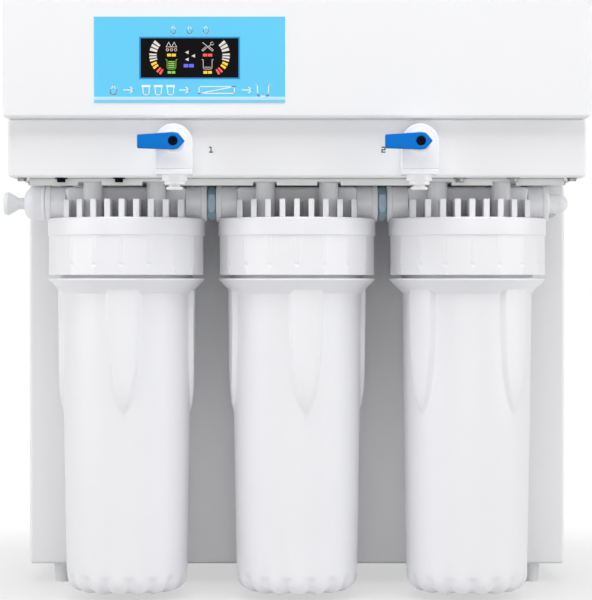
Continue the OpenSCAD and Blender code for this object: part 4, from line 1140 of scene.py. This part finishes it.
class PURIFIER_OT_display(bpy.types.Operator):
    """Model the lit display and the prints of the control panel and of the tap numbers"""

    bl_idname = "purifier.display"
    bl_label = "Display"

    lift = 0.06 * MM
    unit = MM
    pen = 0.36
    print_pen = 0.6
    print_unit = 1.25 * MM
    gauge_x = 13.2
    gauge_z = 2.0
    gauge_r = 16.4
    gauge_gap = 3.2
    gauge_inner = {"lit_white": 11, "lit_amber": 12.2, "lit_red": 12.2}
    gauge_bars = {
        "lit_white": ((138, 168, 3), (175, 197, 3)),
        "lit_amber": ((202, 219, 2),),
        "lit_red": ((226, 241, 2),),
    }
    icon_x = 13.3
    icon_z = 8.3
    beaker_z = -4.6
    arrowheads = ((-1.9, 4.1), (2.8, 1.5), (-1.9, -1.1))
    level_bars = (-7, -5.6, -4.2, -2.8)
    level_size = (4.8, 0.8)
    green_word = (-icon_x, -10.6, 5.6, 1.9)
    amber_words = ((-icon_x, 2.1, 6.4, 2.0), (icon_x, -10.6, 6.2, 2.0))
    red_word = (icon_x, 2.1, 6.8, 2.0)
    blue_word = (-0.6, -5.7, 7.4, 2.4)
    word_split = (0.27, 0.46)
    window_half = (36.0, 14.5)
    window_line = 1.1
    top_drops = (-12, 0, 12)
    top_drops_rise = 6.2
    marks_rise = 9.4 * MM
    drop_x = -44.8
    beaker_x = 43.2
    membrane_x = 16
    cans = (-25.6, -18.4, -11.2)
    arrows = (-35.6, -2.8, 34)
    digit = (2.2, 3.6)
    digit_pen = 0.85
    digit_off = (26, -4.4)

    def execute(self, context):
        self.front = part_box("control_overlay")[0].y
        self.centre = middle("display_window")
        self.gauges()
        self.icons()
        self.frame_line()
        self.panel_marks()
        self.tap_numbers()
        return {"FINISHED"}

    def at(self, x, z):
        """A place on the panel, from drawing units off the middle of what is drawn."""
        return self.centre.x + x * self.unit, self.centre.z + z * self.unit

    def flat(self, outline):
        """A thin shape on the panel."""
        points = [self.at(x, z) for x, z in outline]
        return add_plate("mark", points, self.front - self.lift, self.lift)

    def bar(self, x, z, width, height, turn=0.0):
        """A thin bar about a point, turned up from the level."""
        deselect()
        x, z = self.at(x, z)
        bpy.ops.mesh.primitive_cube_add(
            size=1,
            location=(x, self.front - self.lift / 2, z),
            rotation=(0, -turn, 0),
            scale=(width * self.unit, self.lift, height * self.unit),
        )
        return settle(bpy.context.object)

    def words(self, *places):
        """Two short bars side by side in place of each word."""
        off, share = self.word_split
        return [self.bar(x + s * w * off, z, w * share, h) for x, z, w, h in places for s in (-1, 1)]

    def stroke(self, *points):
        """A drawn line through points, as wide as the pen."""
        pieces = []
        for (x0, z0), (x1, z1) in zip(points, points[1:]):
            run, turn = math.hypot(x1 - x0, z1 - z0), math.atan2(z1 - z0, x1 - x0)
            pieces.append(self.bar((x0 + x1) / 2, (z0 + z1) / 2, run + self.pen, self.pen, turn))
        return pieces

    def drawn(self, x, z, *points):
        """A drawn line through points that are given from a place."""
        return self.stroke(*[(x + a, z + b) for a, b in points])

    def ring(self, x, z, radius, start=0, end=360):
        """A drawn circle, or an arc of one."""
        return self.stroke(*arc(x, z, radius, start, end, max(4, round((end - start) / 36))))

    def print_out(self, name, pieces, finish_name, slot="display_black"):
        """Joins what was drawn in one finish."""
        seat(join(name, pieces), "root", slot, finish_name)

    def gauges(self):
        """Two bar gauges bent to arcs, in groups of so many bars from one angle to another."""
        for finish_name, groups in self.gauge_bars.items():
            inner = self.gauge_inner[finish_name]
            pieces = []
            for start, end, count in groups:
                step = (end - start + self.gauge_gap) / count
                for near in [start + i * step for i in range(count)]:
                    far = near + step - self.gauge_gap
                    shape = arc(0, 0, self.gauge_r, near, far, 4) + arc(0, 0, inner, far, near, 4)
                    for sign in (-1, 1):
                        outline = [(sign * (self.gauge_x - x), self.gauge_z + z) for x, z in shape]
                        pieces.append(self.flat(outline))
            self.print_out(f"gauge_{finish_name}", pieces, finish_name)

    def icons(self):
        """Pictograms with short bars below them."""
        x = self.icon_x
        white = self.spray(-x, self.icon_z) + self.tools(x, self.icon_z) + self.beaker(x, self.beaker_z)
        white += self.drawn(x, self.beaker_z, (-2.3, -2.2), (2.3, -2.2))
        for left, z in self.arrowheads:
            white.append(self.flat([(left - 1.4, z), (left + 1.2, z - 1.3), (left + 1.2, z + 1.3)]))
        green = self.beaker(-x, self.beaker_z)
        green += [self.bar(-x, z, *self.level_size) for z in self.level_bars]
        self.print_out("icons_white", white, "lit_white")
        self.print_out("icons_green", green + self.words(self.green_word), "lit_green")
        self.print_out("bars_amber", self.words(*self.amber_words), "lit_amber")
        self.print_out("bars_red", self.words(self.red_word), "lit_red")
        self.print_out("bars_blue", self.words(self.blue_word), "lit_blue")

    def spray(self, x, z):
        """Pictogram of spray heads over drops."""
        pieces = []
        for off in (-2, 2):
            pieces += self.drawn(x + off, z, (-1.9, -0.2), (0, 3.2), (1.9, -0.2), (-1.9, -0.2))
        for off in (-3, 0, 3):
            pieces += self.ring(x + off, z - 2.3, 0.9)
        return pieces

    def tools(self, x, z):
        """Pictogram of a crossed driver and spanner."""
        pieces = self.drawn(x, z, (-3.6, 3.0), (0.6, -0.4)) + self.drawn(x, z, (2.6, 1.6), (-0.6, -0.6))
        pieces += self.ring(x + 3.3, z + 2.3, 1.1, 60, 340)
        for s in (-1, 1):
            pieces += self.drawn(x, z, (s * 0.7, -0.9), (s * 3.4, -3.3), (s * 4.2, -2.5), (s * 1.4, -0.1))
        return pieces

    def beaker(self, x, z):
        """Outline of a beaker with its lip."""
        wall = arc(-2.0, -2.4, 1.2, 180, 270, 3) + arc(2.0, -2.4, 1.2, -90, 0, 3)
        return self.drawn(x, z, (-4.1, 3.4), (-3.3, 3.2), *wall, (3.3, 3.2), (4.1, 3.4))

    def drop(self, x, z):
        """Outline of a drop."""
        return self.drawn(x, z, (0, 2.8), *arc(0, -0.8, 1.9, 150, 390, 10), (0, 2.8))

    def can(self, x, z):
        """Outline of a filter housing under its head."""
        head = self.bar(x, z + 2.3, 5.2, 1.3)
        return [head] + self.drawn(x, z, (-1.9, 1.4), (-1.6, -2.8), (1.6, -2.8), (1.9, 1.4))

    def membrane(self, x, z):
        """Outline of a membrane housing with its sheet across."""
        return self.drawn(x, z, (-10.4, -2), (10.4, -2), (10.4, 2), (-10.4, 2), (-10.4, -2), (10.4, 2))

    def arrow(self, x, z):
        """Arrow to the right."""
        return self.drawn(x, z, (-3, 0), (2.6, 0)) + self.drawn(x, z, (0.8, 1.6), (2.6, 0), (0.8, -1.6))

    def frame_line(self):
        """Thin printed line round the window."""
        x, z = self.window_half
        line = self.window_line
        sides = [self.bar(s * (x + line / 2), 0, line, 2 * z + 2 * line) for s in (-1, 1)]
        sides += [self.bar(0, s * (z + line / 2), 2 * x, line) for s in (-1, 1)]
        self.print_out("window_frame", sides, "film_edge", "panel_blue")

    def panel_marks(self):
        """White pictograms of the water's way, from a drop to a beaker, with drops above the window."""
        self.pen = self.print_pen
        marks = []
        for x in self.top_drops:
            marks += self.drop(x, self.window_half[1] + self.top_drops_rise)
        self.unit = self.print_unit
        z = (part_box("control_overlay")[0].z + self.marks_rise - self.centre.z) / self.unit
        marks += self.drop(self.drop_x, z) + self.beaker(self.beaker_x, z)
        for x in self.cans:
            marks += self.can(x, z)
        marks += self.membrane(self.membrane_x, z)
        for x in self.arrows:
            marks += self.arrow(x, z)
        self.print_out("panel_marks", marks, "print_white", "panel_blue")

    def tap_numbers(self):
        """A plain number beside each tap."""
        wide, tall = self.digit
        one = [(0, tall), (wide / 2, tall), (wide / 2, 0), (0, 0), (wide, 0)]
        two = [(0, tall), (wide, tall), (wide, tall / 2), (0, tall / 2), (0, 0), (wide, 0)]
        self.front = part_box("head_tray")[0].y
        self.pen, self.unit = self.digit_pen, MM
        for side, sign, line in (("left", 1, one), ("right", -1, two)):
            self.centre = middle(f"tap_ball_{side}")
            x, z = sign * self.digit_off[0], self.digit_off[1]
            marks = self.drawn(x - wide / 2, z - tall / 2, *line)
            self.print_out(f"tap_number_{side}", marks, "print_dark", "white_paint")


def merged_copy(node):
    """A copy of a node's solid with its facets merged."""
    piece = bpy.data.objects.new(f"{node}_rounded", NODES[node].data.copy())
    bpy.context.collection.objects.link(piece)
    pick(piece)
    bpy.ops.object.mode_set(mode="EDIT")
    bpy.ops.mesh.select_all(action="SELECT")
    bpy.ops.mesh.remove_doubles(threshold=MERGE)
    bpy.ops.mesh.dissolve_limited(angle_limit=FLAT)
    close_edit()
    return piece


def soften(widths, own_finish=None):
    """Merged copies of nodes with edges rounded, each by its width in millimetres, in the nodes' place."""
    for node, width in widths.items():
        piece = merged_copy(node)
        if width:
            round_edges(piece, width * MM, segments=2, angle=40)
        finish_name = (own_finish or {}).get(node)
        seat(smooth_sheet(piece), BODY_OF[node], SLOT_OF[node], finish_name, [node])


class PURIFIER_OT_fittings(bpy.types.Operator):
    """Round off the pipe fittings, the bracket, the screws and the feet"""

    bl_idname = "purifier.fittings"
    bl_label = "Fittings"

    nut_r = 13.2 * MM
    nut_round = 0.25 * MM
    nut_play = 0.1 * MM
    chamfer_in = 2.4 * MM
    chamfer_out = 0.4 * MM
    chamfer_l = 1.9 * MM
    thread_r = 9.4 * MM
    thread_l = 13 * MM
    bend = 2.2 * MM
    bend_near = 0.1 * MM
    bend_share = 0.9
    bracket_round = 0.3 * MM
    flange_r = 4.6 * MM
    flange_h = 0.7 * MM
    screw_r = 3.4 * MM
    screw_h = 3.4 * MM
    screw_round = 0.4 * MM
    screw_back = 1.1 * MM
    screw_rows = (("left", (-44.7, -1.7), "socket_black"), ("right", (-9.9, 30.6), "screw_steel"))
    rounding = {
        "inlet_bush": 0.4, "inlet_collet": 0.4, "outlet_elbow": 0.4, "outlet_grommet": 0.4,
        "bracket_screws": 0.3, "underside_screws": 0.3, "head_screws": 0.3, "feet": 0.6,
        "lever_screw_left": 0.2, "lever_screw_right": 0.2, "tap_ball_left": 0.2, "tap_ball_right": 0.2,
        "tap_nuts": 0.5, "tap_seats": 0.3, "control_overlay": 0.1, "display_window": 0.1,
    }
    own_finish = {
        "lever_screw_left": "socket_black",
        "lever_screw_right": "socket_black",
        "outlet_grommet": "pale_rubber",
    }

    def execute(self, context):
        self.links()
        self.bracket()
        self.lip_screws()
        soften(self.rounding, self.own_finish)
        return {"FINISHED"}

    def links(self):
        """Hex nuts with chamfered corners on the threads that join the heads."""
        _, y, z = middle("link_nipples")
        inner, outer = self.nut_r - self.chamfer_in, self.nut_r + self.chamfer_out
        pieces = []
        for first, second in zip(LEFT_TO_RIGHT, LEFT_TO_RIGHT[1:]):
            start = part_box(f"filter_head_{first}")[1].x
            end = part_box(f"filter_head_{second}")[0].x
            x, half = (start + end) / 2, (end - start) / 2 - self.nut_play
            rise, reach = half - self.chamfer_l, half + self.thread_l
            outline = [(0, -half), (inner, -half), (outer, -rise), (outer, rise), (inner, half), (0, half)]
            nut = add_rod("nut", (x - half, y, z), (x + half, y, z), self.nut_r, sides=6)
            combine(nut, add_lathe("chamfer", outline, (x, y, z), (1, 0, 0), sides=72), "INTERSECT")
            round_edges(nut, self.nut_round, segments=2, angle=30)
            pieces += [nut, add_rod("thread", (x - reach, y, z), (x + reach, y, z), self.thread_r)]
        seat(smooth(join("link_nuts", pieces), angle=30), "root", "link_grey", replaces=["link_nipples"])

    def bracket(self):
        """Bracket with the bends along its two lips."""
        low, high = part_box("filter_bracket")
        top, long = high.z - self.bend_near, self.bend_share * (high.x - low.x)
        piece = merged_copy("filter_bracket")
        edit_edges(piece, lambda a, b: min(a.z, b.z) > top and abs(a.x - b.x) > long)
        bpy.ops.mesh.bevel(offset=self.bend, segments=5)
        close_edit()
        round_edges(piece, self.bracket_round, segments=2, angle=40)
        seat(smooth_sheet(piece), "root", "bracket_steel", replaces=["filter_bracket"])

    def lip_screws(self):
        """Flanged hex screws under the tray, in front of the bracket's lip."""
        tray_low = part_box("head_tray")[0]
        y = (tray_low.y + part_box("filter_bracket")[0].y) / 2 + self.screw_back
        outline = [(0, 0), (self.flange_r, 0), (self.flange_r, -self.flange_h), (0, -2 * self.flange_h)]
        for head, offsets, finish_name in self.screw_rows:
            screws = []
            for offset in offsets:
                top = Vector((middle(f"sump_seal_{head}").x + offset * MM, y, tray_low.z))
                screws.append(add_lathe("flange", outline, top, sides=48))
                hexagon = add_rod("hexagon", top, top - Vector((0, 0, self.screw_h)), self.screw_r, sides=6)
                screws.append(round_edges(hexagon, self.screw_round, segments=2, angle=50))
            piece = smooth(join(f"lip_screws_{head}", screws), angle=30)
            seat(piece, "root", "screw_steel", finish_name)


class PURIFIER_OT_rear(bpy.types.Operator):
    """Round off the rear cover with its vents, ports, power entry and switch"""

    bl_idname = "purifier.rear"
    bl_label = "Rear"

    rounding = {
        "rear_cover": 0.3, "cover_screws": 0.3, "rear_ports": 0.5, "power_entry": 0.4, "switch_rocker": 0.5,
    }

    def execute(self, context):
        soften(self.rounding)
        return {"FINISHED"}


class PURIFIER_OT_inside(bpy.types.Operator):
    """Round off the pump, the membranes, the boards and the cartridges"""

    bl_idname = "purifier.inside"
    bl_label = "Inside"

    rounding = {
        "display_board": 0.2, "control_board": 0.2, "board_posts": 0.2, "power_supply": 0.6,
        "pump_motor": 0.5, "pump_head": 0.8, "pump_mounts": 0.8, "membrane_housings": 0.6,
        "membrane_caps": 0.8, "membrane_elements": 0.4, "membrane_clips": 0.5, "resin_column": 0.8,
        "solenoid_valves": 0.6, "sediment_cartridge": 0.8, "carbon_cartridge": 0.8,
        "polish_cartridge": 0.8, "sump_seal_left": 0, "sump_seal_middle": 0, "sump_seal_right": 0,
    }

    def execute(self, context):
        soften(self.rounding)
        return {"FINISHED"}


def backdrop_finish():
    """Pale floor that shows white to the camera away from the object and keeps the object's shadow."""
    shadow_area, white_area, least_white = 0.02, 0.25, 0.55
    finish = Finish()
    finish.holder.name = "studio_floor"
    across, along = finish.axis("X"), finish.axis("Y")
    far = (across * across + along * along).rise(shadow_area, white_area)
    grey = finish.shade((0.7, 0.7, 0.7), finish.noise(waves=80, detail=3), amount=0.01)
    matt = finish.node("ShaderNodeBsdfPrincipled", None, {"Base Color": grey, "Roughness": 0.7})
    white = finish.node("ShaderNodeEmission", None, {"Color": WHITE, "Strength": 1.0})
    share = finish.looked_at() * (least_white + (1 - least_white) * far)
    mixed = finish.node("ShaderNodeMixShader", None, {0: share, 1: matt, 2: white})
    finish.node("ShaderNodeOutputMaterial", None, {"Surface": mixed})
    return finish.holder


def add_lamp(name, power, size, place, target):
    """A soft lamp, so wide and so high, that faces a target."""
    deselect()
    bpy.ops.object.light_add(type="AREA", location=place)
    lamp = bpy.context.object
    lamp.name = name
    lamp.data.energy = power
    lamp.data.shape = "RECTANGLE"
    lamp.data.size, lamp.data.size_y = size
    lamp.rotation_euler = (Vector(target) - Vector(place)).to_track_quat("-Z", "Y").to_euler()


class PURIFIER_OT_stage(bpy.types.Operator):
    """Set up the camera, the lamps and the pale floor with its backdrop"""

    bl_idname = "purifier.stage"
    bl_label = "Stage"

    horizon_row = 275
    aside = 0.7 * MM
    sensor = 36
    view_end = 20
    floor_size = 9
    back_share = 0.4
    wall_h = 5
    cove_r = 1.2
    cove_segments = 12
    lamp_places = {
        "left": ("side_power", (1.1, 1.1), (-1.45, -0.6, 0.62)),
        "right": ("side_power", (1.1, 1.1), (1.45, -0.6, 0.62)),
        "top": ("top_power", (1.2, 1.2), (0, -0.9, 1.7)),
        "front": ("front_power", (1.4, 0.3), (0, -2.3, 0.2)),
        "rear": ("rear_power", (1.4, 1.4), (0, 2.1, 0.7)),
    }

    def execute(self, context):
        studio = context.scene.purifier_studio
        self.camera(context, studio)
        self.lamps(context, studio)
        self.floor()
        context.scene.view_settings.view_transform = "Standard"
        return {"FINISHED"}

    def camera(self, context, studio):
        """Camera before the middle of the head cover, tilted so that the horizon lies on its row."""
        tilt = (IMAGE_HEIGHT / 2 - self.horizon_row) / studio.focal
        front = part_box("head_cover")[0].y
        deselect()
        bpy.ops.object.camera_add(
            location=(middle("head_cover").x - self.aside, front - studio.distance, studio.eye),
            rotation=(math.pi / 2 - tilt, 0, 0),
        )
        camera = context.object
        camera.name = "camera"
        camera.data.sensor_fit = "HORIZONTAL"
        camera.data.sensor_width = self.sensor
        camera.data.lens = self.sensor * studio.focal / IMAGE_WIDTH
        camera.data.clip_end = self.view_end
        context.scene.camera = camera

    def lamps(self, context, studio):
        """Soft lamps on all sides, in a white room that lights the object weakly."""
        target = ((CAD_LOW.x + CAD_HIGH.x) / 2, 0, CAD_HIGH.z / 2)
        for name, (power, size, place) in self.lamp_places.items():
            add_lamp(f"lamp_{name}", getattr(studio, power), size, place, target)
        room = Finish(bpy.data.worlds.new("studio"))
        strength = studio.ambient + (1 - studio.ambient) * room.looked_at()
        light = room.node("ShaderNodeBackground", None, {"Color": WHITE, "Strength": strength})
        room.node("ShaderNodeOutputWorld", None, {"Surface": light})
        context.scene.world = room.holder

    def floor(self):
        """Floor that rises to a wall at its back through a cove."""
        deselect()
        bpy.ops.mesh.primitive_plane_add(size=self.floor_size, location=(0, 0, 0))
        floor = bpy.context.object
        floor.name = "floor"
        edit_edges(floor, self.at_back)
        bpy.ops.mesh.extrude_region_move(TRANSFORM_OT_translate={"value": (0, 0, self.wall_h)})
        close_edit()
        edit_edges(floor, lambda a, b: self.at_back(a, b) and max(a.z, b.z) < self.cove_r)
        bpy.ops.mesh.bevel(offset=self.cove_r, segments=self.cove_segments)
        deselect()
        settle(floor)
        bpy.ops.object.shade_smooth()
        floor.data.materials.append(backdrop_finish())

    def at_back(self, start, end):
        """Whether an edge lies along the floor's back."""
        return min(start.y, end.y) > self.back_share * self.floor_size


class PURIFIER_PT_panel(bpy.types.Panel):
    """Sidebar panel with the steps of the build and the settings"""

    bl_idname = "PURIFIER_PT_panel"
    bl_label = "Purifier"
    bl_space_type = "VIEW_3D"
    bl_region_type = "UI"
    bl_category = "Purifier"

    def draw(self, context):
        for step in STEPS:
            self.layout.operator(step.bl_idname)
        for name, group in SETTINGS.items():
            box = self.layout.box()
            for setting in group.__annotations__:
                box.prop(getattr(context.scene, name), setting)


STEPS = (
    PURIFIER_OT_stage,
    PURIFIER_OT_finishes,
    PURIFIER_OT_cabinet,
    PURIFIER_OT_sumps,
    PURIFIER_OT_filter_heads,
    PURIFIER_OT_taps,
    PURIFIER_OT_display,
    PURIFIER_OT_fittings,
    PURIFIER_OT_rear,
    PURIFIER_OT_inside,
)
SETTINGS = {
    "purifier_colours": PurifierColours,
    "purifier_sizes": PurifierSizes,
    "purifier_studio": PurifierStudio,
}
CLASSES = (*SETTINGS.values(), *STEPS, PURIFIER_PT_panel)


def main():
    """Builds the dressed purifier."""
    register()
    bpy.ops.purifier.stage()
    bpy.ops.purifier.finishes()
    bpy.ops.purifier.cabinet()
    bpy.ops.purifier.sumps()
    bpy.ops.purifier.filter_heads()
    bpy.ops.purifier.taps()
    bpy.ops.purifier.display()
    bpy.ops.purifier.fittings()
    bpy.ops.purifier.rear()
    bpy.ops.purifier.inside()


def register():
    for cls in CLASSES:
        bpy.utils.register_class(cls)
    for name, group in SETTINGS.items():
        setattr(bpy.types.Scene, name, PointerProperty(type=group))


def unregister():
    for name in SETTINGS:
        delattr(bpy.types.Scene, name)
    for cls in reversed(CLASSES):
        bpy.utils.unregister_class(cls)


if __name__ == "__main__":
    main()
